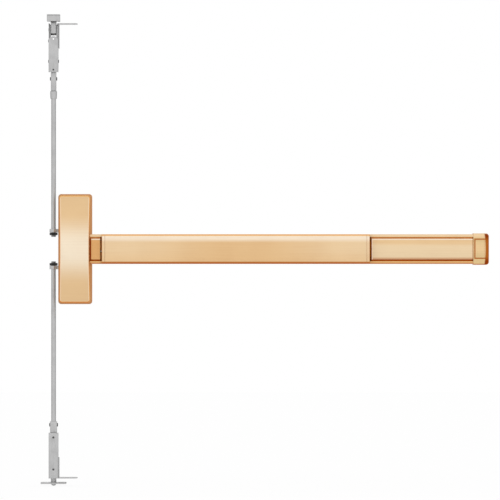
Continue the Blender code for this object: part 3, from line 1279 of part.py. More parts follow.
def top_strike_plate(material):
    """Flat plate over the strike box, with a window and screw holes."""
    half = STRIKE_BOX_WIDTH / 2
    front, back = STRIKE_BOX_FRONT, STRIKE_BOX_FRONT + STRIKE_BOX_DEPTH
    low = STRIKE_BOX_TOP + FIT_GAP
    high = low + STRIKE_WALL
    outline = rounded_rectangle((ROD_X - half, front), (ROD_X + half, back),
                                STRIKE_PLATE_CORNER, 2)
    plate = extrusion("top_strike_plate", outline, "Z", low, high, material)
    cut(plate, block("cutter", (ROD_X - half + 0.005, front + 0.009, low - 0.001),
                     (ROD_X + 0.004, back - 0.006, high + 0.001)))
    holes = (
        (ROD_X + half - 0.0045, front + 0.010),
        (ROD_X + half - 0.0045, back - 0.010),
        (ROD_X - half + 0.004, back - 0.003),
        (ROD_X - half + 0.010, front + 0.004),
    )
    for hole in holes:
        cut(plate, cylinder("cutter", "Z", hole, STRIKE_HOLE_RADIUS, low - 0.001, high + 0.001, sides=10))
    return plate


def rod_sleeve(material):
    """Square sleeve that joins the bottom rod to the bolt."""
    sleeve = square_bar("rod_sleeve", SLEEVE_WIDTH, SLEEVE_LOW, SLEEVE_TOP, material)
    cut(sleeve, cylinder("cutter", "Z", (ROD_X, ROD_Y), ROD_RADIUS + FIT_GAP, BOTTOM_ROD_END - FIT_GAP,
                         SLEEVE_TOP + 0.001, sides=ROD_SIDES),
        cylinder("cutter", "Z", (ROD_X, ROD_Y), BOLT_NECK_RADIUS + FIT_GAP, SLEEVE_LOW - 0.001,
                 BOLT_NECK_TOP + FIT_GAP),
        cylinder("cutter", "X", (ROD_Y, SLEEVE_TOP - SLEEVE_SCREW_DROP), SET_SCREW_RADIUS + FIT_GAP,
                 ROD_X - 0.01, ROD_X + 0.01))
    return sleeve


def bottom_bolt(material):
    """Round bolt with a ball tip and a thinner neck for the sleeve."""
    radius = BOTTOM_BOLT_RADIUS
    profile = [(BOLT_NECK_RADIUS, BOLT_NECK_TOP), (BOLT_NECK_RADIUS, SLEEVE_LOW - FIT_GAP),
               (radius, SLEEVE_LOW - FIT_GAP)]
    for turn in (0, 25, 50, 75, 88):
        angle = math.radians(turn)
        profile.append((radius * math.cos(angle), BOTTOM_BOLT_TIP + radius * (1 - math.sin(angle))))
    bolt = turned("bottom_bolt", "Z", (ROD_X, ROD_Y), profile, material, sides=ROD_SIDES)
    return cut(bolt, cylinder("cutter", "X", (ROD_Y, CROSS_PIN_Z), CROSS_PIN_RADIUS + FIT_GAP,
                              ROD_X - 0.01, ROD_X + 0.01))


def bottom_latch_case(material):
    """Folded case, open at the back and ends, with rivet holes in its sides."""
    low, high = BOTTOM_EDGE, BOTTOM_CASE_TOP
    front, back = BOTTOM_CASE_FRONT, BOTTOM_CASE_BACK
    foot, top = BOTTOM_CASE_FOOT_CHAMFER, BOTTOM_CASE_TOP_CHAMFER
    side = [(front, low), (back - foot, low), (back, low + foot), (back, high - top),
            (back - top, high), (front, high)]
    case = extrusion("bottom_latch_case", side, "X", ROD_X - CASE_HALF, ROD_X + CASE_HALF, material)
    inner = CASE_INNER_HALF
    cut(case, block("cutter", (ROD_X - inner, front + CASE_WALL, low - 0.001),
                    (ROD_X + inner, back + 0.001, high + 0.001)))
    for z in (high - 0.009, low + 0.018):
        cut(case, cylinder("cutter", "Y", (ROD_X, z), BOTTOM_CASE_FRONT_HOLE,
                           front - 0.001, front + CASE_WALL + 0.001))
    far = CASE_HALF + 0.001
    for y, z in guide_rivets():
        cut(case, cylinder("cutter", "X", (y, z), GUIDE_RIVET_RADIUS + FIT_GAP, ROD_X - far, ROD_X + far))
    for hole in ((front + 0.006, low + 0.030), (back - 0.004, low + 0.030), (back - 0.004, high - 0.030)):
        cut(case, cylinder("cutter", "X", hole, BOTTOM_CASE_SIDE_HOLE, ROD_X - far, ROD_X + far, sides=10))
    return case


def guide_rivets():
    """Places of the guide's rivets on the case's sides."""
    depths = (ROD_Y - 0.004, ROD_Y + 0.006)
    return [(y, z + GUIDE_PLATE / 2) for z in (GUIDE_LOW, GUIDE_UPPER) for y in depths]


def bottom_bolt_guide(material):
    """Riveted guide with two bored plates that keep the bottom bolt upright."""
    outer = CASE_INNER_HALF - FIT_GAP
    top = GUIDE_UPPER + GUIDE_PLATE
    web_back = GUIDE_WEB_FRONT + GUIDE_WEB
    outline = [
        (GUIDE_PLATE_FRONT, GUIDE_LOW), (web_back, GUIDE_LOW), (web_back, top),
        (GUIDE_PLATE_FRONT, top), (GUIDE_PLATE_FRONT, GUIDE_UPPER), (GUIDE_WEB_FRONT, GUIDE_UPPER),
        (GUIDE_WEB_FRONT, GUIDE_LOW + GUIDE_PLATE), (GUIDE_PLATE_FRONT, GUIDE_LOW + GUIDE_PLATE),
    ]
    guide = extrusion("bottom_bolt_guide", outline, "X", ROD_X - outer, ROD_X + outer, material)
    for y, z in guide_rivets():
        for way in (1, -1):
            low, high = sorted((ROD_X + way * (outer - 0.001), ROD_X + way * (CASE_HALF - FIT_GAP)))
            join(guide, cylinder("extra", "X", (y, z), GUIDE_RIVET_RADIUS, low, high, sides=12))
    return cut(guide, cylinder("cutter", "Z", (ROD_X, ROD_Y), BOTTOM_BOLT_RADIUS + FIT_GAP,
                               GUIDE_LOW - 0.001, top + 0.001, sides=ROD_SIDES))


def bottom_strike_plate(material):
    """Plate let into the floor, with a dished hole for the bolt and two countersunk screw holes."""
    half_x, half_y = FLOOR_STRIKE_WIDTH / 2, FLOOR_STRIKE_DEPTH / 2
    outline = rounded_rectangle((ROD_X - half_x, ROD_Y - half_y), (ROD_X + half_x, ROD_Y + half_y),
                                FLOOR_STRIKE_CORNER, 2)
    plate = extrusion("bottom_strike_plate", outline, "Z", FLOOR_STRIKE_LOW, FLOOR_STRIKE_TOP, material)
    cut(plate, countersunk_hole("Z", (ROD_X, ROD_Y), FLOOR_STRIKE_HOLE_RADIUS, FLOOR_STRIKE_SINK_RADIUS,
                                FLOOR_STRIKE_TOP, FLOOR_STRIKE_LOW))
    for way in (1, -1):
        centre = (ROD_X + way * FLOOR_SCREW_X, ROD_Y + way * FLOOR_SCREW_Y)
        cut(plate, countersunk_hole("Z", centre, FLOOR_SCREW_RADIUS, FLOOR_SCREW_SINK_RADIUS,
                                    FLOOR_STRIKE_TOP, FLOOR_STRIKE_LOW))
    return plate


def clear_scene():
    """Remove what the scene holds before the model is built."""
    for piece in list(bpy.data.objects):
        bpy.data.objects.remove(piece)


def build():
    """Make every piece and hang the moving ones on their joints."""
    clear_scene()
    bronze = metal("satin bronze", (0.78, 0.57, 0.33), 0.35)
    steel = metal("plated steel", (0.56, 0.56, 0.56), 0.40)
    dark = metal("black screws", (0.03, 0.03, 0.03), 0.50)
    spring_steel = metal("spring steel", (0.45, 0.45, 0.46), 0.30)
    rod_line = (ROD_X, ROD_Y)

    head_cover(bronze)
    head_baseplate(steel)
    cover_screw("cover_screw_top", 1, bronze)
    cover_screw("cover_screw_bottom", -1, bronze)
    lever_stud("upper_lever_stud", 1, steel)
    lever_stud("lower_lever_stud", -1, steel)
    through_bolt("through_bolt_upper", 1, steel)
    through_bolt("through_bolt_lower", -1, steel)

    rail_channel(bronze)
    cover_plate("neck_cover_plate", RAIL_START + SLIDE_GAP, PAD_START - PAD_END_GAP, bronze)
    cover_plate("rail_cover_plate", PAD_END + PAD_END_GAP, END_CAP_START - SLIDE_GAP, bronze)
    end_cap(bronze)
    end_bracket(steel)
    end_cap_screw(bronze)
    crank_bracket("crank_bracket_left", LEFT_CRANK_X, steel)
    crank_bracket("crank_bracket_right", RIGHT_CRANK_X, steel)
    crank_pivot("crank_pivot_left", LEFT_CRANK_X, steel)
    crank_pivot("crank_pivot_right", RIGHT_CRANK_X, steel)
    spring_stop(steel)
    coil("return_spring", "X", (DRIVE_BAR_MID_Y, DRIVE_BAR_MID_Z), SPRING_START, SPRING_START + SPRING_LENGTH,
         SPRING_RADIUS, SPRING_WIRE_RADIUS, SPRING_TURNS, spring_steel)
    slide_housing(steel)

    pad_pieces = [
        push_pad(bronze),
        pad_end("push_pad_end_left", PAD_START, PAD_START + PAD_END_WIDTH, bronze),
        pad_end("push_pad_end_right", PAD_END - PAD_END_WIDTH, PAD_END, bronze),
        pad_lug("pad_lug_left", LEFT_CRANK_X, steel),
        pad_lug("pad_lug_right", RIGHT_CRANK_X, steel),
    ]
    carry("push_pad_axis", (PAD_START, -PAD_FRONT, 0.0), pad_pieces)
    bell_crank("bell_crank_left", LEFT_CRANK_X, steel)
    bell_crank("bell_crank_right", RIGHT_CRANK_X, steel)
    carry("drive_bar_axis", (DRIVE_BAR_START, DRIVE_BAR_MID_Y, DRIVE_BAR_MID_Z),
          [drive_bar(steel), drive_yoke(steel)])
    lever("upper_lever", 1, steel)
    lever("lower_lever", -1, steel)

    top_rod = cylinder("top_rod", "Z", rod_line, ROD_RADIUS, ROD_INNER_END, TOP_ROD_END, steel, ROD_SIDES)
    top_pieces = [
        slide("upper_slide", 1, steel),
        rod_nut("upper_rod_nut", 1, dark),
        top_rod,
        rod_fitting(steel),
        latch_connector(steel),
        cross_screw("connector_cross_screw", CONNECTOR_WIDTH, connector_screw_z(), dark),
        latch_slider(steel),
        cross_pin("latch_slider_pin", (ROD_Y, SLIDER_PIN_Z), GUIDE_PIN_RADIUS, -CASE_HALF - FIT_GAP,
                  CASE_HALF + FIT_GAP, dark, GUIDE_PIN_RADIUS + 0.001),
    ]
    carry("top_rod_axis", (ROD_X, ROD_Y, ROD_INNER_END), top_pieces)
    bottom_rod = cylinder("bottom_rod", "Z", rod_line, ROD_RADIUS, BOTTOM_ROD_END, -ROD_INNER_END, steel,
                          ROD_SIDES)
    cut(bottom_rod, cylinder("cutter", "X", (ROD_Y, SLEEVE_TOP - SLEEVE_SCREW_DROP), SET_SCREW_RADIUS + FIT_GAP,
                             ROD_X - 0.01, ROD_X + 0.01))
    bottom_pieces = [
        slide("lower_slide", -1, steel),
        rod_nut("lower_rod_nut", -1, dark),
        bottom_rod,
        rod_sleeve(steel),
        cross_screw("sleeve_cross_screw", SLEEVE_WIDTH, SLEEVE_TOP - SLEEVE_SCREW_DROP, dark),
        bottom_bolt(steel),
        cross_pin("bottom_bolt_pin", (ROD_Y, CROSS_PIN_Z), CROSS_PIN_RADIUS, -0.0072, 0.0072, steel),
    ]
    carry("bottom_rod_axis", (ROD_X, ROD_Y, -ROD_INNER_END), bottom_pieces)

    top_latch_case(steel)
    angle_bracket("top_latch_bracket", 1, TOP_EDGE, TOP_ANGLE_LEG, steel)
    cross_pin("top_bolt_pivot_pin", (BOLT_PIVOT_Y, BOLT_PIVOT_Z), BOLT_PIVOT_RADIUS, -CASE_HALF - FIT_GAP,
              CASE_HALF + FIT_GAP, dark, BOLT_HEAD_RADIUS)
    cross_pin("latch_guide_pin", (ROD_Y, GUIDE_PIN_Z), GUIDE_PIN_RADIUS, -CASE_HALF - FIT_GAP,
              CASE_HALF - FIT_GAP, dark, GUIDE_PIN_RADIUS + 0.001, head_high=False)
    half_bolt = BOLT_WIDTH / 2
    carry("top_bolt_axis", (ROD_X, BOLT_PIVOT_Y, BOLT_PIVOT_Z), [
        top_bolt(steel),
        cross_pin("latch_link_pin", (LINK_PIN_Y, LINK_PIN_Z), LINK_PIN_RADIUS, -half_bolt - 0.0021,
                  half_bolt + 0.0021, steel),
    ])
    top_strike_box(steel)
    top_strike_plate(steel)

    bottom_latch_case(steel)
    bottom_bolt_guide(steel)
    angle_bracket("bottom_latch_bracket", -1, BOTTOM_EDGE, BOTTOM_ANGLE_LEG, steel)
    coil("bottom_bolt_spring", "Z", rod_line, CROSS_PIN_Z + CROSS_PIN_RADIUS + FIT_GAP, GUIDE_UPPER - FIT_GAP,
         BOLT_SPRING_RADIUS, BOLT_SPRING_WIRE_RADIUS, BOLT_SPRING_TURNS, spring_steel)
    bottom_strike_plate(steel)

    for piece in bpy.data.objects:
        if piece.type == "MESH":
            shade_round(piece)


build()
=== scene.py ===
"""Looks of a vertical rod exit device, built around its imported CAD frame."""

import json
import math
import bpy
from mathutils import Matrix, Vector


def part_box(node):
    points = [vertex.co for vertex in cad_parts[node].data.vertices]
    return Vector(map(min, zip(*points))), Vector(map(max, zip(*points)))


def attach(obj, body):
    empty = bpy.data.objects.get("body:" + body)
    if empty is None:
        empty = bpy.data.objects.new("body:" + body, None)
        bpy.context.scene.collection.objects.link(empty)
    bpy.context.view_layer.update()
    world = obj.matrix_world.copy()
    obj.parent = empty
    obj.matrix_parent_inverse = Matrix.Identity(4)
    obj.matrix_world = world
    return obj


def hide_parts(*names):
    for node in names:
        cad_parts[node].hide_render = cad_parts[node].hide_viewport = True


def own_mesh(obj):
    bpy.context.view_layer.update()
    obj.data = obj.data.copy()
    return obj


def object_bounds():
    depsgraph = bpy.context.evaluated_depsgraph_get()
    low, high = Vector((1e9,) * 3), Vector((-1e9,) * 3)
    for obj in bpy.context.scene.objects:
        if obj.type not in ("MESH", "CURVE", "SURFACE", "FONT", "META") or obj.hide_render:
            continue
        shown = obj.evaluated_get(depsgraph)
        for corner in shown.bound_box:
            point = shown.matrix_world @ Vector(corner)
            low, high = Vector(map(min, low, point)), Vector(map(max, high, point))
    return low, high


bl_info = {
    "name": "Vertical rod exit device",
    "version": (1, 0, 0),
    "blender": (4, 5, 0),
    "location": "View3D > Sidebar > Exit device",
    "description": "Models the device's covers, push pad, rods, latches and strikes with their finishes",
    "category": "Object",
}

import bpy
from mathutils import Vector

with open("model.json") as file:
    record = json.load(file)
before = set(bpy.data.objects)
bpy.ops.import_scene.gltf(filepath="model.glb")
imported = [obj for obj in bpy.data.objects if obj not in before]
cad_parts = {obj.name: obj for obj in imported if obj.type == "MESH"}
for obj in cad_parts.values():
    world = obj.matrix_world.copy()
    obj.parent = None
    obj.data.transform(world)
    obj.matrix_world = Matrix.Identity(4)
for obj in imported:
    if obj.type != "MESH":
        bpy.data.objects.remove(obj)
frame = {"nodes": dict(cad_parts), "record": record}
CAD_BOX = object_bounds()

# How near two places count as one, how far a cutter stands past a face, and the share of a direction
# along an axis from which it counts as along that axis.
NEAR = 1e-5
PAST = 0.001
ALONG = 0.9
MERGE_DISTANCE = 0.00001
FLAT_DEG = 1
SHARP_DEG = 40

AXIS_WAY = {"X": Vector((1, 0, 0)), "Y": Vector((0, 1, 0)), "Z": Vector((0, 0, 1))}
AXIS_TURN = {"X": (0, math.pi / 2, 0), "Y": (math.pi / 2, 0, 0), "Z": (0, 0, 0)}


def paint(red, green, blue):
    """Linear colour of an 8-bit display colour."""
    shares = [part / 255 for part in (red, green, blue)]
    return tuple(s / 12.92 if s <= 0.04045 else ((s + 0.055) / 1.055) ** 2.4 for s in shares)


def length(label, what, default):
    """A length that a user may change, in metres."""
    return bpy.props.FloatProperty(
        name=label, description=what, default=default, min=0.0, unit="LENGTH", precision=4)


def colour(label, what, *display):
    """A colour that a user may change, from its three 8-bit display values."""
    return bpy.props.FloatVectorProperty(
        name=label, description=what, default=paint(*display), subtype="COLOR", size=3, min=0.0, max=1.0)


class DeviceSizes(bpy.types.PropertyGroup):
    """Sizes of edges and walls that the looks add to the frame."""

    head_edge: length("Head edge", "Radius round the head cover's front", 0.0025)
    head_corner: length("Head corner", "Radius of the head cover's four corners", 0.006)
    head_wall: length("Head wall", "Thickness of the head cover's sheet", 0.0025)
    head_end_depth: length("Head end depth", "How far the head's ends stand off the door", 0.042)
    pad_edge: length("Pad edge", "Radius along the push pad's long edges", 0.003)
    rail_edge: length("Rail edge", "Radius along the rail's folds", 0.0008)
    cap_side: length("Cap side radius", "Radius from the end cap's front to its end", 0.008)
    cap_corner: length("Cap corner radius", "Radius of the end cap's upper and lower corners", 0.006)
    cap_wall: length("Cap wall", "Thickness of the end cap's wall", 0.0015)
    small_edge: length("Small edge", "Bevel of the rod kit's edges", 0.0004)


class DeviceColours(bpy.types.PropertyGroup):
    """Colours of the satin bronze by place, which paint light and shade onto one bronze, then of the other
    metals and the floor.
    """

    # Painted highlight: the head's middle, where the crown faces the room.
    head: colour("Head bronze", "Middle of the head", 243, 227, 202)
    # Painted shade where the head's crown slopes away and in a band on the plate; also the plain bronze of
    # walls and backs.
    slope: colour("Sloped bronze", "Head where its crown slopes away", 230, 196, 150)
    # Painted highlights along upper edges, the head's sides and the plate's end.
    pale: colour("Pale bronze", "Bright upper edges", 246, 228, 203)
    # Painted light along the pad: paler at its ends, with painted shade across its middle and lower half.
    pad: colour("Pad bronze", "Push pad's ends", 234, 205, 164)
    pad_middle: colour("Pad's middle", "Middle of the push pad", 225, 186, 136)
    # Painted shade: the plate beside the head is deeper than the long plate.
    neck: colour("Neck bronze", "Plate beside the head", 225, 174, 115)
    plate: colour("Plate bronze", "Long cover plate", 234, 209, 171)
    # The rail's lit upper lip, also the cap's painted highlight band, and the painted shade of its lower
    # lip.
    rail: colour("Rail bronze", "Rail's upper lip", 238, 208, 165)
    lip_low: colour("Lower lip bronze", "Rail's lower lip", 230, 184, 124)
    # The end cap's middle, and painted shade above and below it.
    cap: colour("Cap bronze", "Middle of the end cap", 233, 201, 152)
    cap_ends: colour("Cap's ends", "End cap above and below its middle", 222, 193, 142)
    # Painted light from above: walls that face up are paler and walls that face down deeper; the lower
    # colour also draws painted shade lines and the random mottling of the brushing.
    high: colour("Upper wall bronze", "Walls that face up", 238, 178, 100)
    low: colour("Lower wall bronze", "Walls that face down, and dark lines", 180, 98, 34)
    # Painted shade on the head's left and lower walls.
    head_wall: colour("Head wall bronze", "Head's left and lower walls", 224, 136, 50)
    # Painted shade on the end cap's end and its crescent.
    deep: colour("Cap's end bronze", "End of the end cap", 176, 98, 34)
    # Painted shade in the grooves beside the plates, lighter in the upper one as if lit from above.
    groove_high: colour("Upper groove bronze", "Groove above a plate", 225, 150, 80)
    groove_low: colour("Lower groove bronze", "Groove below a plate", 185, 90, 22)
    # Painted bounce light: a bright orange deep inside the rail.
    inside: colour("Inside bronze", "Deep inside the rail, seen through its gaps", 255, 140, 45)
    # Painted shade along edges, in corners, beside the head and at the cap's end.
    edge: colour("Edge bronze", "Darkened edges and grooves", 140, 55, 8)
    zinc: colour("Zinc", "Plated steel of the rod kit", 190, 190, 190)
    # Darker zinc: the plating's random clouds, wear on black oxide and scratches on spring wire, and also
    # the painted shade along the rod kit's edges and round bars' sides.
    zinc_edge: colour("Zinc edge", "Plated steel along its edges", 105, 105, 105)
    black: colour("Black oxide", "Screws and pins", 38, 38, 38)
    floor: colour("Floor", "Floor and backdrop", 255, 255, 255)


def clear_selection():
    """Leave edit mode and deselect everything."""
    if bpy.context.object is not None and bpy.context.object.mode != "OBJECT":
        bpy.ops.object.mode_set(mode="OBJECT")
    bpy.ops.object.select_all(action="DESELECT")


def centre_across(node, axis):
    """The middle of a CAD solid in the plane across an axis."""
    low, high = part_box(node)
    return tuple((low[i] + high[i]) / 2 for i in range(3) if i != "XYZ".index(axis))


def spot(axis, along, across):
    """A point from its place along an axis and its two places across it."""
    point = list(across)
    point.insert("XYZ".index(axis), along)
    return Vector(point)


def make_active(piece):
    """Select one piece alone and make it the active one."""
    clear_selection()
    piece.hide_set(False)
    piece.select_set(True)
    bpy.context.view_layer.objects.active = piece


def edit(piece, action="DESELECT", kind=None):
    """Edit a piece, with everything selected or nothing."""
    make_active(piece)
    bpy.ops.object.mode_set(mode="EDIT")
    if kind:
        bpy.ops.mesh.select_mode(type=kind)
    bpy.ops.mesh.select_all(action=action)


def leave_edit():
    """Go back to object mode."""
    bpy.ops.object.mode_set(mode="OBJECT")


def turn_outward():
    """Let all faces of the piece being edited face outwards, and leave edit mode."""
    bpy.ops.mesh.select_all(action="SELECT")
    bpy.ops.mesh.normals_make_consistent(inside=False)
    leave_edit()


def settled():
    """The object added last, with its place, turn and scale applied."""
    bpy.ops.object.transform_apply(location=True, rotation=True, scale=True)
    return bpy.context.object


def stock(low, high):
    """A block of stock between two corners, ready to be shaped."""
    clear_selection()
    low, high = Vector(low), Vector(high)
    bpy.ops.mesh.primitive_cube_add(size=1.0, location=(low + high) / 2)
    bpy.context.object.scale = high - low
    return settled()


def pick(piece, kind, test):
    """Select in edit mode the faces, edges or points whose place and direction pass a test."""
    edit(piece, kind=kind)
    leave_edit()
    mesh = piece.data
    found = 0
    for part in {"FACE": mesh.polygons, "EDGE": mesh.edges, "VERT": mesh.vertices}[kind]:
        if kind == "FACE":
            place, way = part.center, part.normal
        elif kind == "EDGE":
            first, last = (mesh.vertices[i].co for i in part.vertices)
            place, way = (first + last) / 2, (last - first).normalized()
        else:
            place, way = part.co, None
        part.select = test(place, way)
        found += part.select
    bpy.ops.object.mode_set(mode="EDIT")
    if not found:
        raise RuntimeError(f"nothing to shape was found on {piece.name}")


def extrude(step):
    """Extrude what is selected by one step."""
    bpy.ops.mesh.extrude_region_move(TRANSFORM_OT_translate={"value": Vector(step)})


def grow(piece, test, step):
    """Extrude the faces that pass a test by one step."""
    pick(piece, "FACE", test)
    extrude(step)


def round_edges(piece, test, radius, steps=3):
    """Bevel the edges that pass a test."""
    pick(piece, "EDGE", test)
    bpy.ops.mesh.bevel(offset=radius, segments=steps, affect="EDGES", clamp_overlap=True)


def thicken(piece, wall):
    """Give an open shell a wall inwards."""
    apply_modifier(piece, "SOLIDIFY", thickness=wall, offset=-1.0, use_even_offset=True)


def open_up(piece, test):
    """Delete the faces that pass a test."""
    pick(piece, "FACE", test)
    bpy.ops.mesh.delete(type="FACE")


def slice_across(piece, axis, places):
    """Cut a piece's faces by planes across an axis."""
    edit(piece)
    for place in places:
        bpy.ops.mesh.select_all(action="SELECT")
        bpy.ops.mesh.bisect(plane_co=AXIS_WAY[axis] * place, plane_no=AXIS_WAY[axis])


def apply_modifier(piece, kind, **settings):
    """Add a modifier with its settings and apply it."""
    make_active(piece)
    modifier = piece.modifiers.new(kind.lower(), kind)
    for name, value in settings.items():
        setattr(modifier, name, value)
    bpy.ops.object.modifier_apply(modifier=modifier.name)


def combine(piece, other, operation):
    """Cut another piece out of one, join it on or keep what both share, and use it up."""
    apply_modifier(piece, "BOOLEAN", object=other, operation=operation, solver="EXACT")
    mesh = other.data
    bpy.data.objects.remove(other)
    bpy.data.meshes.remove(mesh)


def cut_away(piece, cutter):
    """Take a cutter out of a piece."""
    combine(piece, cutter, "DIFFERENCE")


def turned(axis, across, profile, sides=32):
    """A round piece: a disc extruded along an axis and resized at each step of a profile."""
    clear_selection()
    radius, place = profile[0]
    bpy.ops.mesh.primitive_circle_add(
        vertices=sides, radius=radius, fill_type="NGON", location=spot(axis, place, across),
        rotation=AXIS_TURN[axis])
    piece = settled()
    edit(piece, "SELECT")
    for next_radius, next_place in profile[1:]:
        extrude(AXIS_WAY[axis] * (next_place - place))
        share = next_radius / radius
        if share != 1.0:
            centre = spot(axis, next_place, across)
            bpy.ops.transform.resize(value=(share, share, share), center_override=centre)
        radius, place = next_radius, next_place
    turn_outward()
    return piece


def from_frame(node, edge):
    """A merged copy of a CAD solid with its edges broken by a bevel."""
    piece = bpy.data.objects.new(node, frame["nodes"][node].data.copy())
    bpy.context.scene.collection.objects.link(piece)
    edit(piece, "SELECT")
    bpy.ops.mesh.remove_doubles(threshold=MERGE_DISTANCE)
    bpy.ops.mesh.dissolve_limited(angle_limit=math.radians(FLAT_DEG))
    leave_edit()
    if edge > 0:
        apply_modifier(piece, "BEVEL", width=edge, segments=2, limit_method="ANGLE",
                       angle_limit=math.radians(SHARP_DEG), use_clamp_overlap=True)
    return piece


def set_out(piece, body, node, metal, angle_deg=35):
    """Finish a piece: name it, smooth its curves, give it its metal and let it ride on its body."""
    piece.name = piece.data.name = node + "_finished"
    make_active(piece)
    bpy.ops.object.shade_smooth_by_angle(angle=math.radians(angle_deg))
    piece.data.materials.clear()
    piece.data.materials.append(bpy.data.materials[metal])
    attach(piece, body)
    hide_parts(node)
    clear_selection()


class Amount:
    """A number that may vary over the surface; sums with it add Math nodes."""

    def __init__(self, finish, socket):
        self.finish = finish
        self.socket = socket

    def sum(self, operation, *values):
        """One Math node on this and other numbers."""
        node = self.finish.node("Math", enumerate(values), operation=operation)
        return Amount(self.finish, node.outputs[0])

    def __add__(self, other):
        return self.sum("ADD", self, other)

    def __sub__(self, other):
        return self.sum("SUBTRACT", self, other)

    def __rsub__(self, other):
        return self.sum("SUBTRACT", other, self)

    def __mul__(self, other):
        return self.sum("MULTIPLY", self, other)

    __radd__, __rmul__ = __add__, __mul__

    def __abs__(self):
        return self.sum("ABSOLUTE", self)

    def larger(self, other):
        """The larger of this number and another."""
        return self.sum("MAXIMUM", self, other)

    def kept(self):
        """This number held between nothing and one."""
        held = self * 1.0
        held.socket.node.use_clamp = True
        return held

    def between(self, low, high):
        """A smooth rise from nothing at low to one at high."""
        node = self.finish.node("MapRange", {"Value": self, "From Min": low, "From Max": high},
                                interpolation_type="SMOOTHSTEP")
        return Amount(self.finish, node.outputs[0])


class NodeTree:
    """A node tree under construction."""

    def __init__(self, tree):
        self.tree = tree

    def node(self, kind, sockets=(), **settings):
        """A node with its settings made first and then the values or links of its sockets."""
        node = self.tree.nodes.new("ShaderNode" + kind)
        for name, value in settings.items():
            setattr(node, name, value)
        for name, value in dict(sockets).items():
            self.give(node.inputs[name], value)
        return node

    def give(self, socket, value):
        """Link a socket, or set its own value, which may be the name of a colour."""
        if isinstance(value, Amount):
            value = value.socket
        elif isinstance(value, str):
            value = getattr(bpy.context.scene.device_colours, value)
        if isinstance(value, bpy.types.NodeSocket):
            self.tree.links.new(value, socket)
        elif socket.type == "RGBA":
            socket.default_value = (*value, 1.0)
        else:
            socket.default_value = value

    def seen(self):
        """One for rays from the camera, off gloss and through glass, and nothing for others."""
        rays = self.node("LightPath").outputs
        return (Amount(self, rays["Is Camera Ray"]) + Amount(self, rays["Is Glossy Ray"])
                + Amount(self, rays["Is Transmission Ray"]))


class Finish(NodeTree):
    """A material under construction: its nodes, its shader and the place on the piece."""

    def __init__(self, name, roughness, metallic):
        self.material = bpy.data.materials.new(name)
        self.material.use_nodes = True
        super().__init__(self.material.node_tree)
        self.shader = self.tree.nodes["Principled BSDF"]
        self.shader.inputs["Roughness"].default_value = roughness
        self.shader.inputs["Metallic"].default_value = metallic
        self.coordinates = self.node("TexCoord")
        self.place = self.coordinates.outputs["Object"]

    def along(self, axis):
        """The place along one axis, in metres."""
        return Amount(self, self.node("SeparateXYZ", {0: self.place}).outputs[axis])

    def facing(self, axis):
        """How far the surface faces along one axis, from -1 to 1."""
        way = self.coordinates.outputs["Normal"]
        return Amount(self, self.node("SeparateXYZ", {0: way}).outputs[axis])

    def mix(self, share, first, second):
        """A colour between two colours."""
        sockets = {0: share, 6: first, 7: second}
        return self.node("Mix", sockets, data_type="RGBA", clamp_factor=True).outputs[2]

    def layers(self, tint, *layers):
        """A colour with others laid over it in turn, each by its share."""
        for share, over in layers:
            tint = self.mix(share, tint, over)
        return tint

    def grain(self, scale, stretch=(1.0, 1.0, 1.0), detail=3.0):
        """Noise stretched by its scale along each axis, centred on nothing."""
        mapping = self.node("Mapping", {"Vector": self.place, "Scale": stretch})
        noise = self.node("TexNoise", {"Vector": mapping.outputs[0], "Scale": scale, "Detail": detail})
        return Amount(self, noise.outputs["Fac"]) - 0.5

    def edges(self, radius, full=0.25):
        """One along sharp edges and in corners, and nothing on open faces."""
        rounded = self.node("Bevel", {"Radius": radius}, samples=6).outputs[0]
        true = self.node("NewGeometry").outputs["Normal"]
        along = self.node("VectorMath", {0: rounded, 1: true}, operation="DOT_PRODUCT")
        return (1.0 - Amount(self, along.outputs["Value"])).between(0.0, full)

    def finish(self, tint, roughness, relief, height=0.00002):
        """Link the colour, the roughness and the fine relief to the shader."""
        self.give(self.shader.inputs["Base Color"], tint)
        self.give(self.shader.inputs["Roughness"], roughness)
        bump = self.node("Bump", {"Strength": BUMP_STRENGTH, "Distance": height, "Height": relief})
        self.give(self.shader.inputs["Normal"], bump.outputs["Normal"])
        return self.material


# Bands, fades and lines of painted highlight and painted shade on the bronze pieces, in metres.
CROWN_SHADE_FADE = (0.01, 0.072)
CROWN_BOW = 0.116
CROWN_HIGHLIGHT_RIM = (0.0262, 0.0274)
RIGHT_WALL_SHADE_FADE = (0.02, 0.1)
PAD_SHADE_X = 0.33
PAD_SHADE_FADE = (0.03, 0.24)
PAD_LOWER_SHADE_FADE = (0.0, 0.024)
PAD_HIGHLIGHT_BAND = (0.012, 0.022)
PAD_LIT_TOP_LINE = (0.0252, 0.0272)
PAD_LOWER_SHADE_LINE = (0.024, 0.0262)
PAD_END_SHADE_LINE = (-0.001, -0.0004)
PLATE_SHADE_BAND = (0.004, 0.014)
PLATE_HIGHLIGHT_LINE = (0.0175, 0.0195)
PLATE_LOWER_SHADE_FADE = (0.015, 0.02)
PLATE_END_HIGHLIGHT = (0.0022, 0.0032)
PLATE_END_SHADE_LINE = (0.0005, 0.0012)
NECK_SHADOW_LINE = (-0.0335, -0.0325)
LIP_SHADE_FADE = (-0.02, 0.02)
LIP_LOWER_SHADE_LINE = (0.0262, 0.0275)
CAP_MIDDLE_Z = 0.0008
CAP_SHADE_FADE = (0.002, 0.02)
CAP_HIGHLIGHT_BAND = (0.021, 0.026)
PANEL_HALF_HEIGHT = 0.018
PANEL_INSET = 0.0042
PANEL_SHADE_LINE = (-0.0006, 0.0002)
PANEL_SHADE_LINE_FADE = (0.002, 0.0028)
CAP_LOWER_INSET = 0.0026
CAP_FOOT_SHADE_LINE = (0.0, 0.0012)
SHADE_CRESCENT_BOW = 2.6
SHADE_CRESCENT_START = 0.0078
SHADE_CRESCENT_FULL = 0.0052
SHADE_CRESCENT_ENDS = (0.014, 0.026)
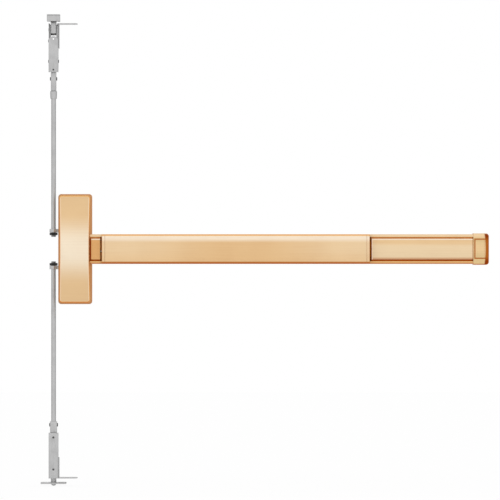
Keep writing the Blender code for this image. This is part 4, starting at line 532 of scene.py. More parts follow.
WALL_LIGHT_FADE = (-0.5, 0.5)

BUMP_STRENGTH = 0.4
BRONZE_ROUGHNESS = 0.42
BRONZE_BRUSH = (8.0, 60.0, 900.0)
FLAT_WALL = (0.22, 0.35)
# Where the grooves get painted shade and the rail's inside gets painted bounce light.
OUTSIDE_LIPS = (0.0282, 0.0288)
RAIL_FLOOR = (-0.0052, -0.0048)
GROOVE_SHADE_SIDES = (-0.01, 0.01)
GROOVE_RISE = 0.001
INSIDE_BOUNCE_START = 0.006
INSIDE_BOUNCE_FULL = 0.012
STEEL_BRUSH = (300.0, 300.0, 20.0)


def head_face(metal):
    """Painted light on the head: a painted highlight across the crown's middle, painted shade towards both
    ends where the crown slopes away, and painted highlights along both sides.
    """
    height = metal.along("Z")
    rim = (abs(metal.along("X")) - height * height * CROWN_BOW).between(*CROWN_HIGHLIGHT_RIM)
    return metal.layers(
        "head", (abs(height).between(*CROWN_SHADE_FADE), "slope"), (rim * 0.75, "pale"))


def head_wall(metal):
    """Walls of the head under painted light from the upper right: painted shade deepest on the left, below
    and on the right wall beside the bar.
    """
    away = abs(metal.along("Z")).between(*RIGHT_WALL_SHADE_FADE)
    right = metal.facing("X").between(0.2, 0.8)
    return metal.layers(
        "head_wall", (metal.facing("Z").between(0.0, 0.5), "high"),
        (right * (away * 0.5 + 0.5), "high"))


def pad_face(metal):
    """Painted light on the pad: a painted highlight band under the upper edge, the upper rounding in the
    painted tone of walls lit from above, painted shade across the middle and lower half, and painted shade
    lines along the lower edge and at the ends.
    """
    height, depth = metal.along("Z"), metal.along("Z") * -1.0
    left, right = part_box("push_pad_end_left")[0].x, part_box("push_pad_end_right")[1].x
    middle = 1.0 - abs(metal.along("X") - PAD_SHADE_X).between(*PAD_SHADE_FADE)
    past_end = abs(metal.along("X") - (left + right) / 2) - (right - left) / 2
    return metal.layers(
        "pad", (middle * 0.85, "pad_middle"),
        (depth.between(*PAD_LOWER_SHADE_FADE) * 0.45, "pad_middle"),
        (height.between(*PAD_HIGHLIGHT_BAND), "pale"),
        (height.between(*PAD_LIT_TOP_LINE) * 0.7, "high"),
        (depth.between(*PAD_LOWER_SHADE_LINE) * 0.9, "low"),
        (past_end.between(*PAD_END_SHADE_LINE) * 0.8, "low"))


def plate_face(metal):
    """Painted highlights along the top and beside the pad, a band of painted shade between, and painted
    shade towards the lower edge and along both ends.
    """
    height, depth = metal.along("Z"), metal.along("Z") * -1.0
    low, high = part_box("rail_cover_plate")
    from_pad = metal.along("X") - low.x
    from_end = (high.x - low.x) / 2 - abs(metal.along("X") - (low.x + high.x) / 2)
    return metal.layers(
        "plate", (height.between(*PLATE_SHADE_BAND), "slope"),
        (height.between(*PLATE_HIGHLIGHT_LINE), "pale"),
        (depth.between(*PLATE_LOWER_SHADE_FADE) * 0.6, "low"),
        ((1.0 - from_pad.between(*PLATE_END_HIGHLIGHT)) * 0.7, "pale"),
        ((1.0 - from_end.between(*PLATE_END_SHADE_LINE)) * 0.8, "low"))


def neck_face(metal):
    """An even deeper bronze under painted shade, with a painted highlight along the upper edge and a
    painted shadow line beside the head.
    """
    return metal.layers(
        "neck", (metal.along("Z").between(*PLATE_HIGHLIGHT_LINE), "pale"),
        ((metal.along("X") * -1.0).between(*NECK_SHADOW_LINE), "edge"))


def rail_face(metal):
    """Lips under painted light from above: pale above, painted shade below, and a painted shade line along
    the lower lip.
    """
    height = metal.along("Z")
    return metal.layers(
        "lip_low", (height.between(*LIP_SHADE_FADE), "rail"),
        ((height * -1.0).between(*LIP_LOWER_SHADE_LINE) * 0.7, "low"))


def cap_face(metal):
    """Painted light on the cap: painted shade above and below its middle, a painted highlight along the
    top, painted shade lines round the panel and along the foot, and a painted shade crescent at the end.
    """
    low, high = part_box("end_cap")
    height = abs(metal.along("Z") - CAP_MIDDLE_Z)
    outside = (height - PANEL_HALF_HEIGHT).larger((low.x + PANEL_INSET) - metal.along("X"))
    line = outside.between(*PANEL_SHADE_LINE) * (1.0 - outside.between(*PANEL_SHADE_LINE_FADE))
    foot = (low.z + CAP_LOWER_INSET) - metal.along("Z")
    crescent = (metal.along("X") + height * height * SHADE_CRESCENT_BOW).between(
        high.x - SHADE_CRESCENT_START, high.x - SHADE_CRESCENT_FULL)
    return metal.layers(
        "cap", (height.between(*CAP_SHADE_FADE), "cap_ends"),
        (metal.along("Z").between(*CAP_HIGHLIGHT_BAND), "rail"), (line * 0.9, "low"),
        (foot.between(*CAP_FOOT_SHADE_LINE) * 0.8, "low"),
        (crescent, metal.mix(height.between(*SHADE_CRESCENT_ENDS), "deep", "edge")))


def cap_wall(metal):
    """Walls of the cap under painted light from above: pale above, painted shade below and the deepest
    painted shade at the end.
    """
    return metal.layers(
        "low", (metal.facing("Z").between(*WALL_LIGHT_FADE), "cap"),
        (metal.facing("X").between(0.05, 0.4), "deep"))


def even_wall(metal):
    """Walls and rounded edges under painted light from above: pale above and painted shade below."""
    return metal.mix(metal.facing("Z").between(*WALL_LIGHT_FADE), "low", "high")


def satin_bronze(name, face, wall, turn, groove=None):
    """Brushed satin bronze with painted light: a painted highlight where it faces the room, and painted
    shade on roundings, edges and in grooves.

    turn is how far a surface faces the room where its rounding ends and its face is full; groove is the
    depth behind which the metal gets painted shade.
    """
    metal = Finish(name, BRONZE_ROUGHNESS, 0.9)
    metal.give(metal.shader.inputs["Specular Tint"], "low")
    towards = metal.facing("Y") * -1.0
    full, back = towards.between(*turn), towards.between(0.0, -0.1)
    flat_wall = 1.0 - abs(towards).between(*FLAT_WALL)
    metallic = (full.larger(flat_wall) * 0.6 + 0.3).larger(back * 0.9)
    metal.give(metal.shader.inputs["Metallic"], metallic)
    tint = metal.mix(full, wall(metal), face(metal))
    tint = metal.mix(flat_wall.larger(back), tint, "slope")
    # Painted shade in the grooves between the lips, lighter in the upper groove, and painted bounce light
    # deeper inside the rail.
    if groove is not None:
        depth, height = metal.along("Y"), metal.along("Z")
        between_lips = (1.0 - abs(height).between(*OUTSIDE_LIPS)) * (1.0 - depth.between(*RAIL_FLOOR))
        shade = metal.mix(height.between(*GROOVE_SHADE_SIDES), "groove_low", "groove_high")
        inside = depth.between(groove + INSIDE_BOUNCE_START, groove + INSIDE_BOUNCE_FULL)
        shade = metal.mix(inside, shade, "inside")
        tint = metal.mix(depth.between(groove, groove + GROOVE_RISE) * between_lips, tint, shade)
    strokes = metal.grain(1.0, BRONZE_BRUSH)
    clouds = metal.grain(18.0, detail=2.0)
    tint = metal.mix((strokes * 0.16 + clouds * 0.10 + 0.01).kept(), tint, "low")
    # Painted shade along edges and in corners.
    tint = metal.mix((metal.edges(0.0010) * 0.5).kept(), tint, "edge")
    return metal.finish(tint, (BRONZE_ROUGHNESS + strokes * 0.18 + clouds * 0.12).kept(), strokes)


def plated_steel(name, round_bar=False):
    """Zinc-plated steel of the rod kit: mid grey faces with painted shade along the edges, or on round bars
    towards their sides, and faint cloudy plating.
    """
    metal = Finish(name, 0.4, 0.9)
    strokes = metal.grain(1.0, STEEL_BRUSH)
    clouds = metal.grain(60.0)
    # Painted shade: round bars darken towards their sides, other pieces along their edges and in corners.
    if round_bar:
        shadow = (1.0 - abs(metal.facing("Y")).between(0.2, 0.9)) * 0.75
    else:
        shadow = metal.edges(0.0009, 0.12) * 0.95
    tint = metal.mix((clouds * 0.35 + strokes * 0.3 + 0.03).kept(), "zinc", "zinc_edge")
    tint = metal.mix(shadow.kept(), tint, "zinc_edge")
    return metal.finish(tint, (0.4 + clouds * 0.25).kept(), strokes)


def black_oxide():
    """Black oxide on screws and pins, worn paler along the edges."""
    metal = Finish("black_oxide", 0.45, 0.6)
    clouds = metal.grain(400.0, detail=2.0)
    worn = (metal.edges(0.0004) * 0.35).kept()
    tint = metal.mix(worn, "black", "zinc_edge")
    return metal.finish(tint, (0.45 + clouds * 0.3).kept(), clouds, 0.00001)


def spring_wire():
    """Bright drawn spring wire with fine scratches along its turns."""
    metal = Finish("spring_wire", 0.3, 1.0)
    scratches = metal.grain(900.0, detail=2.0)
    tint = metal.mix((scratches * 0.8 + 0.1).kept(), "zinc", "zinc_edge")
    return metal.finish(tint, (0.3 + scratches * 0.3).kept(), scratches, 0.00001)


class DevicePiece:
    """What the operators that model a piece share."""

    bl_options = {"REGISTER", "UNDO"}

    @property
    def sizes(self):
        """The sizes that a user may change."""
        return bpy.context.scene.device_sizes


class DEVICE_OT_finishes(DevicePiece, bpy.types.Operator):
    """Make the metal finishes"""

    bl_idname = "device.finishes"
    bl_label = "Metal finishes"

    def execute(self, context):
        turn, plate_groove, rail_groove = (0.6, 0.95), -0.0425, -0.0400
        # Painted light: the six bronzes are one satin bronze, each with its own painted highlights and
        # painted shade.
        satin_bronze("head_bronze", head_face, head_wall, (0.75, 0.93))
        satin_bronze("pad_bronze", pad_face, even_wall, (0.92, 0.995))
        satin_bronze("neck_bronze", neck_face, even_wall, turn, plate_groove)
        satin_bronze("plate_bronze", plate_face, even_wall, turn, plate_groove)
        satin_bronze("rail_bronze", rail_face, even_wall, turn, rail_groove)
        satin_bronze("cap_bronze", cap_face, cap_wall, turn)
        plated_steel("zinc_plate")
        plated_steel("zinc_bar", True)
        black_oxide()
        spring_wire()
        return {"FINISHED"}


class DEVICE_OT_head(DevicePiece, bpy.types.Operator):
    """Model the crowned head cover"""

    bl_idname = "device.head"
    bl_label = "Head cover"

    corner_steps = 5
    rows = 26
    row_match = 2e-6
    lean_share = 0.08
    fold_deg = 50
    window_gap = 0.00025
    sink_gap = 0.0001
    sink_depth = 0.0016
    sink_rise = 0.003
    bore_depth = 0.006
    bore_share = 0.55

    def sink(self, cover, node, way):
        """Countersink an end of the cover for its screw."""
        low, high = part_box(node)
        radius = (high.x - low.x) / 2 + self.sink_gap
        bore, face = radius * self.bore_share, high.z if way > 0 else low.z
        cut_away(cover, turned("Z", centre_across(node, "Z"), [
            (bore, face - way * self.bore_depth), (bore, face - way * self.sink_depth),
            (radius, face), (radius, face + way * self.sink_rise)]))

    def execute(self, context):
        sizes = self.sizes
        (low, high), end_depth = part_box("head_cover"), sizes.head_end_depth
        crown = -low.y - end_depth
        bow = (high.z ** 2 + crown ** 2) / (2 * crown)
        cover = stock((low.x, -end_depth, low.z), (high.x, 0, high.z))
        round_edges(cover, lambda c, d: abs(d.y) > ALONG, sizes.head_corner, self.corner_steps)
        straight = high.z - sizes.head_corner
        slice_across(cover, "Z", [straight * (2 * i / self.rows - 1) for i in range(1, self.rows)])
        open_up(cover, lambda c, d: d.y > ALONG)
        leave_edit()
        for height in sorted({round(v.co.z, 6) for v in cover.data.vertices}):
            rise = crown - (bow - math.sqrt(bow ** 2 - height ** 2))
            lean = self.lean_share * (end_depth + rise)
            pick(cover, "VERT", lambda c, d: c.y < -end_depth / 2 and abs(c.z - height) < self.row_match)
            bpy.ops.transform.translate(value=(0, -rise, -lean * height / high.z))
            bpy.ops.transform.resize(value=((high.x - lean) / high.x, 1, 1), center_override=(0, 0, 0))
        edit(cover, kind="EDGE")
        bpy.ops.mesh.edges_select_sharp(sharpness=math.radians(self.fold_deg))
        bpy.ops.mesh.bevel(offset=sizes.head_edge, segments=4, affect="EDGES")
        thicken(cover, sizes.head_wall)
        rail_low, rail_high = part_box("rail_channel")
        gap = self.window_gap
        window = stock((rail_low.x, rail_low.y - gap, rail_low.z - gap),
                       (high.x * 2, PAST, rail_high.z + gap))
        cut_away(cover, window)
        self.sink(cover, "cover_screw_top", 1)
        self.sink(cover, "cover_screw_bottom", -1)
        set_out(cover, "chassis", "head_cover", "head_bronze")
        return {"FINISHED"}


class DEVICE_OT_rail(DevicePiece, bpy.types.Operator):
    """Model the channel rail with its folded lips"""

    bl_idname = "device.rail"
    bl_label = "Rail"

    wall = 0.0022
    opening_half = 0.024
    turn_end = -0.0383

    def execute(self, context):
        low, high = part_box("rail_channel")
        wall, half, opening = self.wall, high.z, self.opening_half
        floor = high.y - wall
        rail = stock((low.x, floor, low.z), (high.x, high.y, high.z))
        slice_across(rail, "Z", [wall - half, half - wall])
        grow(rail, lambda c, d: d.y < -ALONG and abs(c.z) > half - wall, (0, low.y + wall - floor, 0))
        grow(rail, lambda c, d: d.y < -ALONG and abs(c.z) > half - wall, (0, -wall, 0))
        for way in (1, -1):
            for step in (half - wall - opening - wall, wall):
                grow(rail, lambda c, d: d.z * way < -ALONG and c.z * way > half / 2 and c.y < low.y + wall,
                     (0, 0, -way * step))
            grow(rail, lambda c, d: (d.y > ALONG and opening < c.z * way < opening + wall
                                     and c.y < low.y + wall * 1.5), (0, self.turn_end - low.y - wall, 0))
        round_edges(rail, lambda c, d: abs(d.x) > ALONG and (
            abs(c.z) > half - NEAR or c.y < low.y + NEAR), self.sizes.rail_edge)
        turn_outward()
        set_out(rail, "chassis", "rail_channel", "rail_bronze")
        return {"FINISHED"}


class DEVICE_OT_cover_plates(DevicePiece, bpy.types.Operator):
    """Model the two plates that cover the rail beside the push pad"""

    bl_idname = "device.cover_plates"
    bl_label = "Cover plates"

    raised_half = 0.021
    flange_front = -0.038

    def execute(self, context):
        for node, metal in (("neck_cover_plate", "neck_bronze"), ("rail_cover_plate", "plate_bronze")):
            low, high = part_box(node)
            raised, seat = self.raised_half, self.flange_front
            plate = stock((low.x, seat, low.z), high)
            slice_across(plate, "Z", [-raised, raised])
            grow(plate, lambda c, d: d.y < -ALONG and abs(c.z) < raised, (0, low.y - seat, 0))
            round_edges(plate, lambda c, d: abs(d.x) > ALONG and c.y < low.y + NEAR, self.sizes.rail_edge)
            set_out(plate, "chassis", node, metal)
        return {"FINISHED"}


class DEVICE_OT_push_pad(DevicePiece, bpy.types.Operator):
    """Model the push pad with its rounded long edges, hollow back and moulded ends"""

    bl_idname = "device.push_pad"
    bl_label = "Push pad"

    rim_wall = 0.0025
    front_wall = 0.004
    leg_wall = 0.0022
    leg_outside = 0.0236
    match = 0.001
    end_edge = 0.0006
    edge_steps = 5

    def execute(self, context):
        radius, plate, leg, outer = self.sizes.pad_edge, self.front_wall, self.leg_wall, self.leg_outside
        low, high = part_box("push_pad")
        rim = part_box("push_pad_end_left")[1].y
        pad = stock(low, (high.x, rim, high.z))
        pick(pad, "FACE", lambda c, d: d.y > ALONG)
        bpy.ops.mesh.inset(thickness=self.rim_wall)
        grow(pad, lambda c, d: d.y > ALONG and abs(c.z) < self.match, (0, low.y + plate - rim, 0))
        slice_across(pad, "Z", [outer, outer - leg, leg - outer, -outer])
        grow(pad, lambda c, d: d.y > ALONG and outer - leg < abs(c.z) < outer and c.y < rim - self.match,
             (0, high.y - low.y - plate, 0))
        round_edges(pad, lambda c, d: (abs(d.x) > ALONG and c.y < low.y + NEAR
                                       and abs(c.z) > high.z - NEAR), radius, self.edge_steps)
        set_out(pad, "push_bar", "push_pad", "pad_bronze")
        for node in ("push_pad_end_left", "push_pad_end_right"):
            low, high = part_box(node)
            end = stock(low, high)
            round_edges(end, lambda c, d: abs(d.x) > ALONG and c.y < low.y + NEAR, radius, self.edge_steps)
            outside = low.x if "left" in node else high.x
            round_edges(end, lambda c, d: abs(c.x - outside) < NEAR and c.y < low.y + radius + NEAR,
                        self.end_edge, 2)
            set_out(end, "push_bar", node, "pad_bronze")
        return {"FINISHED"}


class DEVICE_OT_end_cap(DevicePiece, bpy.types.Operator):
    """Model the cast end cap with its raised panel and the slotted screw in its underside"""

    bl_idname = "device.end_cap"
    bl_label = "End cap"

    panel_rise = 0.0012
    panel_start = 0.003
    panel_end = 0.0230
    panel_half = 0.0185
    panel_corner = 0.002
    panel_edge = 0.0006
    panel_overlap = 0.0004
    screw_shank = 0.0019
    screw_head = 0.0034
    screw_sink = 0.0002
    rim_gap = 0.0001
    bore_gap = 0.0002
    sink_cone = 0.002
    sink_depth = 0.004
    screw_cone = 0.0017
    screw_point = 0.0006
    slot_half = 0.0004
    slot_depth = 0.0009

    def execute(self, context):
        sizes = self.sizes
        low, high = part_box("end_cap")
        front = low.y + self.panel_rise
        cap = stock((low.x, front, low.z), high)
        round_edges(cap, lambda c, d: abs(d.y) > ALONG and c.x > high.x - NEAR, sizes.cap_corner, 6)
        round_edges(cap, lambda c, d: c.y < front + NEAR and c.x > high.x - sizes.cap_corner - 10 * NEAR,
                    sizes.cap_side, 8)
        open_up(cap, lambda c, d: d.y > ALONG or (d.x < -ALONG and c.x < low.x + NEAR))
        thicken(cap, sizes.cap_wall)
        panel = stock((low.x + self.panel_start, low.y, -self.panel_half),
                      (low.x + self.panel_end, front + self.panel_overlap, self.panel_half))
        round_edges(panel, lambda c, d: abs(d.y) > ALONG, self.panel_corner, 4)
        round_edges(panel, lambda c, d: c.y < low.y + NEAR, self.panel_edge, 2)
        combine(cap, panel, "UNION")

        across, face = centre_across("end_cap_screw", "Z"), low.z + self.screw_sink
        shank, head = self.screw_shank, self.screw_head
        rim, bore = head + self.rim_gap, shank + self.bore_gap
        cut_away(cap, turned("Z", across, [
            (rim, low.z - PAST), (rim, face), (bore, low.z + self.sink_cone),
            (bore, low.z + self.sink_depth)]))
        set_out(cap, "chassis", "end_cap", "cap_bronze")

        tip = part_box("end_cap_screw")[1].z
        screw = turned("Z", across, [
            (head, face), (shank, face + self.screw_cone), (shank, tip - self.screw_point),
            (shank * 0.7, tip)])
        reach, half = head * 0.7, self.slot_half
        cut_away(screw, stock((across[0] - reach, across[1] - half, low.z - PAST),
                              (across[0] + reach, across[1] + half, face + self.slot_depth)))
        set_out(screw, "chassis", "end_cap_screw", "cap_bronze")
        return {"FINISHED"}


class DEVICE_OT_rods(DevicePiece, bpy.types.Operator):
    """Turn the two rods with their threaded ends, the bottom bolt and the top rod's fitting"""

    bl_idname = "device.rods"
    bl_label = "Rods and bottom bolt"

    sides = 48
    thread_length = 0.010
    thread_pitch = 0.0012
    thread_depth = 0.0005
    chamfer = 0.0007
    screw_hole = 0.0029
    pin_hole = 0.0023
    bolt_neck = 0.0040
    tip_steps = 10
    tip_deg = 88
    bore_gap = 0.0002
    seat_gap = 0.0003
    stud = 0.0030
    stud_bevel = 0.0005
    fitting_rim = ((0.0009, 0.0), (0.0005, 0.0004))
    fitting_top = ((0.0, 0.0060), (0.0, 0.0014), (0.0004, 0.0006), (0.0014, 0.0))

    def thread(self, radius, start, way):
        """Profile of a threaded end, from its chamfer inwards along one way."""
        profile = [(radius - self.chamfer, start)]
        for turn in range(int(self.thread_length / self.thread_pitch)):
            crest = start + way * (self.chamfer + turn * self.thread_pitch)
            profile.append((radius, crest))
            profile.append((radius - self.thread_depth, crest + way * self.thread_pitch / 2))
        return profile + [(radius, start + way * self.thread_length)]

    @staticmethod
    def cross_hole(pin, radius):
        """Cutter along X where a cross screw or pin passes."""
        low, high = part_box(pin)
        return turned("X", centre_across(pin, "X"), [
            (radius, low.x - PAST), (radius, high.x + PAST)])

    def turn(self, node, body, profile, *cutters):
        """Turn a piece about the rods' axis, take the cutters out of it and set it out."""
        piece = turned("Z", centre_across("top_rod", "Z"), profile, self.sides)
        for cutter in cutters:
            cut_away(piece, cutter)
        set_out(piece, body, node, "zinc_bar")

    def execute(self, context):
        low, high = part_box("top_rod")
        radius, chamfer, rod_end = (high.x - low.x) / 2, self.chamfer, high.z
        self.turn("top_rod", "upper_rod", self.thread(radius, low.z, 1) + [
            (radius, high.z - chamfer), (radius - chamfer, high.z)])

        bore, (low, high) = radius + self.bore_gap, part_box("bottom_rod")
        self.turn("bottom_rod", "lower_rod", self.thread(radius, high.z, -1) + [
            (radius, low.z + chamfer), (radius - chamfer, low.z)],
            self.cross_hole("sleeve_cross_screw", self.screw_hole))

        low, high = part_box("bottom_bolt")
        radius, neck = (high.x - low.x) / 2, self.bolt_neck
        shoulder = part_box("rod_sleeve")[0].z - self.bore_gap
        profile = [(neck - chamfer, high.z), (neck, high.z - chamfer), (neck, shoulder),
                   (radius - chamfer, shoulder), (radius, shoulder - chamfer)]
        for step in range(self.tip_steps):
            angle = math.radians(self.tip_deg * step / (self.tip_steps - 1))
            profile.append((radius * math.cos(angle), low.z + radius * (1 - math.sin(angle))))
        self.turn("bottom_bolt", "lower_rod", profile, self.cross_hole("bottom_bolt_pin", self.pin_hole))

        low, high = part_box("top_rod_fitting")
        lip, stud, bevel = (high.x - low.x) / 2, self.stud, self.stud_bevel
        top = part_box("latch_connector")[0].z - self.seat_gap
        self.turn("top_rod_fitting", "upper_rod", [
            *((lip - inset, low.z + rise) for inset, rise in self.fitting_rim),
            *((lip - inset, top - drop) for inset, drop in self.fitting_top),
            (stud, top), (stud, high.z - bevel), (stud - bevel, high.z)],
            turned("Z", centre_across("top_rod", "Z"), [
                (bore, low.z - PAST), (bore, rod_end + self.bore_gap)], self.sides))
        return {"FINISHED"}


class DEVICE_OT_screws(DevicePiece, bpy.types.Operator):
    """Turn the black screws and pins with their sockets, the hexagon nuts and the cover's screws"""

    bl_idname = "device.screws"
    bl_label = "Screws, pins and nuts"

    dome = 0.0004
    socket_share = 0.45
    socket_depth_share = 0.75
    nut_cone = 0.0007
    nut_trim = 0.0002
    nut_rise = 0.0001
    cover_shank = 0.0018
    cover_rim = 0.0002
    cover_cone = 0.0016
    cover_point = 0.0006
    cover_socket = 0.0013
    cover_socket_depth = 0.0011

    def head(self, radius, outside, way, thickness):
        """Profile of a head with a rounded rim, from its outer face inwards along one way."""
        dome = self.dome
        return [(radius - dome * 1.6, outside), (radius - dome * 0.5, outside + way * dome * 0.3),
                (radius, outside + way * dome), (radius, outside + way * thickness)]

    def pin(self, node, body, shank, thickness, two_heads=True):
        """Pin along X with a head on its left end or on both, and a hexagon socket in each head."""
        low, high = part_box(node)
        across, head = centre_across(node, "X"), (high.y - low.y) / 2
        profile = self.head(head, low.x, 1, thickness) + [(shank, low.x + thickness)]
        if two_heads:
            profile += [(shank, high.x - thickness), *reversed(self.head(head, high.x, -1, thickness))]
        else:
            profile += [(shank, high.x - self.dome), (shank - self.dome, high.x)]
        piece = turned("X", across, profile)
        depth, socket = thickness * self.socket_depth_share, head * self.socket_share
        for face in (low.x, high.x) if two_heads else (low.x,):
            cut_away(piece, turned("X", across, [
                (socket, face - depth), (socket, face + depth)], 6))
        set_out(piece, body, node, "black_oxide")

    def nut(self, node, body):
        """Hexagon nut with its corners chamfered at both faces."""
        low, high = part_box(node)
        flats = (high.y - low.y) / 2 - self.nut_trim
        corners = (high.x - low.x) / 2 + self.nut_trim
        piece = from_frame(node, 0)
        barrel = turned("Z", centre_across(node, "Z"), [
            (flats, low.z - self.nut_rise), (corners, low.z + self.nut_cone),
            (corners, high.z - self.nut_cone), (flats, high.z + self.nut_rise)], 64)
        combine(piece, barrel, "INTERSECT")
        set_out(piece, body, node, "black_oxide")

    def cover_screw(self, node, way):
        """Countersunk screw with a hexagon socket in an end of the head cover."""
        low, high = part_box(node)
        across = centre_across(node, "Z")
        face, tip = (high.z, low.z) if way > 0 else (low.z, high.z)
        head, shank, rim, socket = (high.x - low.x) / 2, self.cover_shank, self.cover_rim, self.cover_socket
        piece = turned("Z", across, [
            (head - rim, face), (head, face - way * rim), (shank, face - way * self.cover_cone),
            (shank, tip + way * self.cover_point), (shank * 0.7, tip)])
        cut_away(piece, turned("Z", across, [
            (socket, face - way * self.cover_socket_depth), (socket, face + way * PAST)], 6))
        set_out(piece, "chassis", node, "rail_bronze")

    def execute(self, context):
        self.pin("latch_guide_pin", "chassis", 0.0020, 0.0009, False)
        self.pin("latch_slider_pin", "upper_rod", 0.0020, 0.0009)
        self.pin("top_bolt_pivot_pin", "chassis", 0.0024, 0.0009)
        self.pin("connector_cross_screw", "upper_rod", 0.0025, 0.0014)
        self.pin("sleeve_cross_screw", "lower_rod", 0.0025, 0.0014)
        self.nut("upper_rod_nut", "upper_rod")
        self.nut("lower_rod_nut", "lower_rod")
        self.cover_screw("cover_screw_top", 1)
        self.cover_screw("cover_screw_bottom", -1)
        return {"FINISHED"}


class DEVICE_OT_springs(DevicePiece, bpy.types.Operator):
    """Wind the return spring and the bolt spring"""

    bl_idname = "device.springs"
    bl_label = "Springs"

    wire_sides = 10
    turn_steps = 28
    turn_match = 2e-6

    def wind(self, node, axis, wire, turns, joint, travel):
        """A coil along an axis, from a ring of the wire's section that is turned as it rises."""
        low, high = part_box(node)
        along = "XYZ".index(axis)
        full = high[along] - low[along]
        mean = (high.y - low.y) / 2 - wire
        clear_selection()
        bpy.ops.mesh.primitive_circle_add(
            vertices=self.wire_sides, radius=wire, location=(mean, 0, 0), rotation=(math.pi / 2, 0, 0))
        coil = settled()
        apply_modifier(coil, "SCREW", axis="Z", angle=math.tau, iterations=turns, steps=self.turn_steps,
                       render_steps=self.turn_steps, screw_offset=(full - 2 * wire) / turns)
        edit(coil, "SELECT")
        bpy.ops.mesh.remove_doubles(threshold=self.turn_match)
        bpy.ops.mesh.fill_holes(sides=0)
        turn_outward()
        across = centre_across(node, axis)
        coil.rotation_euler, coil.location = AXIS_TURN[axis], spot(axis, low[along] + wire, across)
        settled()
        set_out(coil, "chassis", node, "spring_wire", 60)
        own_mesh(coil)

    def execute(self, context):
        drive_travel, rod_travel = 0.00764, 0.01235
        self.wind("return_spring", "X", 0.0006, 10, "drive_bar_slide", drive_travel)
        self.wind("bottom_bolt_spring", "Z", 0.00055, 6, "bottom_rod_slide", rod_travel)
        return {"FINISHED"}


class DEVICE_OT_rod_kit(DevicePiece, bpy.types.Operator):
    """Finish the latches, slides, strikes and inner pieces with broken edges and their metals"""

    bl_idname = "device.rod_kit"
    bl_label = "Latches, slides and strikes"

    plated = (
        "top_latch_case", "top_latch_bracket", "bottom_latch_case", "bottom_latch_bracket",
        "bottom_bolt_guide", "slide_housing", "upper_slide", "lower_slide", "latch_slider",
        "latch_connector", "rod_sleeve", "top_bolt", "top_strike_box", "top_strike_plate",
        "bottom_strike_plate", "end_bracket", "head_baseplate",
    )

    def execute(self, context):
        members = frame["record"]["behaviour"]["bodies"].items()
        bodies = {node: body for body, nodes in members for node in nodes}
        for node in self.plated:
            piece = from_frame(node, self.sizes.small_edge)
            set_out(piece, bodies[node], node, "zinc_plate")
        kept = {"plated_steel": "zinc_plate", "satin_bronze": "rail_bronze", "black_screws": "black_oxide"}
        for solid in frame["nodes"].values():
            if solid.hide_render:
                continue
            for place in solid.material_slots:
                given = place.material.name if place.material else ""
                name = next((slot for slot in kept if slot in given), "plated_steel")
                place.material = bpy.data.materials[kept[name]]
        return {"FINISHED"}


class DEVICE_OT_stage(DevicePiece, bpy.types.Operator):
    """Set out the floor, the light and the world"""

    bl_idname = "device.stage"
    bl_label = "Stage"

    room_light = 0.92
    floor_glow = 0.9
    floor_gap = 0.0005
    middle = Vector((0.35, 0.0, 0.0))
    lamps = (("key_lamp", (-0.6, -4.0, 0.2), 3.0, 4.0), ("fill_lamp", (1.8, -3.5, 0.0), 2.0, 2.0))

    def execute(self, context):
        scene = context.scene
        scene.view_settings.view_transform = "Standard"
        foot = CAD_BOX[0][2] - self.floor_gap
        bpy.ops.mesh.primitive_plane_add(size=12.0, location=(self.middle.x, 2.0, foot))
        floor = context.object
        floor.name = floor.data.name = "floor"
        floor.data.materials.append(self.floor_paint())
        for name, place, width, power in self.lamps:
            bpy.ops.object.light_add(type="AREA", location=place)
            lamp = context.object
            lamp.name = lamp.data.name = name
            lamp.data.size = width
            lamp.data.energy = power
            lamp.rotation_euler = (self.middle - Vector(place)).to_track_quat("-Z", "Y").to_euler()
        self.world(scene)
        return {"FINISHED"}

    def floor_paint(self):
        """Pale floor that is white to the camera and keeps the object's shadow."""
        floor = Finish("floor_paint", 0.9, 0.0)
        output = next(n for n in floor.tree.nodes if n.type == "OUTPUT_MATERIAL")
        floor.give(floor.shader.inputs["Base Color"], "floor")
        glow = floor.node("Emission", {"Color": "floor", "Strength": 1.0})
        blend = floor.node("MixShader", {
            0: (floor.seen() * self.floor_glow).kept(), 1: floor.shader.outputs[0], 2: glow.outputs[0]})
        floor.give(output.inputs["Surface"], blend.outputs[0])
        return floor.material

    def world(self, scene):
        """Even pale surroundings, white to the camera and to reflections."""
        world = bpy.data.worlds.new("pale_room")
        scene.world = world
        world.use_nodes = True
        room = NodeTree(world.node_tree)
        background = room.tree.nodes["Background"]
        room.give(background.inputs["Color"], (1.0, 1.0, 1.0))
        strength = self.room_light + (1.0 - self.room_light) * room.seen().kept()
        room.give(background.inputs["Strength"], strength)


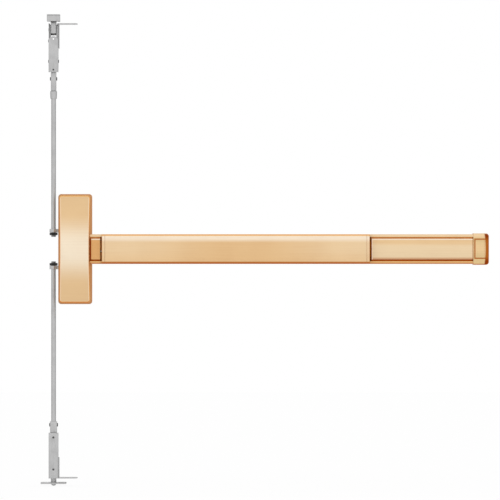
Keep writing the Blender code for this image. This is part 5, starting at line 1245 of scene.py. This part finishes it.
class DEVICE_PT_panel(bpy.types.Panel):
    """Buttons that make the device piece by piece."""

    bl_label = "Exit device"
    bl_idname = "DEVICE_PT_panel"
    bl_space_type = "VIEW_3D"
    bl_region_type = "UI"
    bl_category = "Exit device"

    def draw(self, context):
        column = self.layout.column()
        for operator in OPERATORS:
            column.operator(operator.bl_idname)
        for group in (context.scene.device_sizes, context.scene.device_colours):
            for name in group.bl_rna.properties.keys():
                if name not in ("rna_type", "name"):
                    column.prop(group, name)


OPERATORS = (
    DEVICE_OT_stage,
    DEVICE_OT_finishes,
    DEVICE_OT_head,
    DEVICE_OT_rail,
    DEVICE_OT_cover_plates,
    DEVICE_OT_push_pad,
    DEVICE_OT_end_cap,
    DEVICE_OT_rods,
    DEVICE_OT_screws,
    DEVICE_OT_springs,
    DEVICE_OT_rod_kit,
)
CLASSES = (DeviceSizes, DeviceColours, *OPERATORS, DEVICE_PT_panel)


def register():
    """Make the settings, operators and panel known to Blender."""
    for item in CLASSES:
        bpy.utils.register_class(item)
    bpy.types.Scene.device_sizes = bpy.props.PointerProperty(type=DeviceSizes)
    bpy.types.Scene.device_colours = bpy.props.PointerProperty(type=DeviceColours)


def unregister():
    """Take the settings, operators and panel away again."""
    del bpy.types.Scene.device_colours
    del bpy.types.Scene.device_sizes
    for item in reversed(CLASSES):
        bpy.utils.unregister_class(item)


CAMERA_PLACE = (0.3495, -12.0, -0.0018)
CAMERA_LENS = 432.0


def make_camera():
    """The camera of the photograph's frontal view, far away so that depth hardly shows."""
    bpy.ops.object.camera_add(location=CAMERA_PLACE, rotation=(math.pi / 2, 0, 0))
    camera = bpy.context.object
    camera.name = camera.data.name = "front_camera"
    camera.data.lens = CAMERA_LENS
    camera.data.sensor_width = 36.0
    camera.data.clip_end = 100.0
    bpy.context.scene.camera = camera


def main():
    """Make the camera, then every piece in order."""
    register()
    make_camera()
    for operator in OPERATORS:
        getattr(bpy.ops.device, operator.bl_idname.split(".")[1])()


if __name__ == "__main__":
    main()
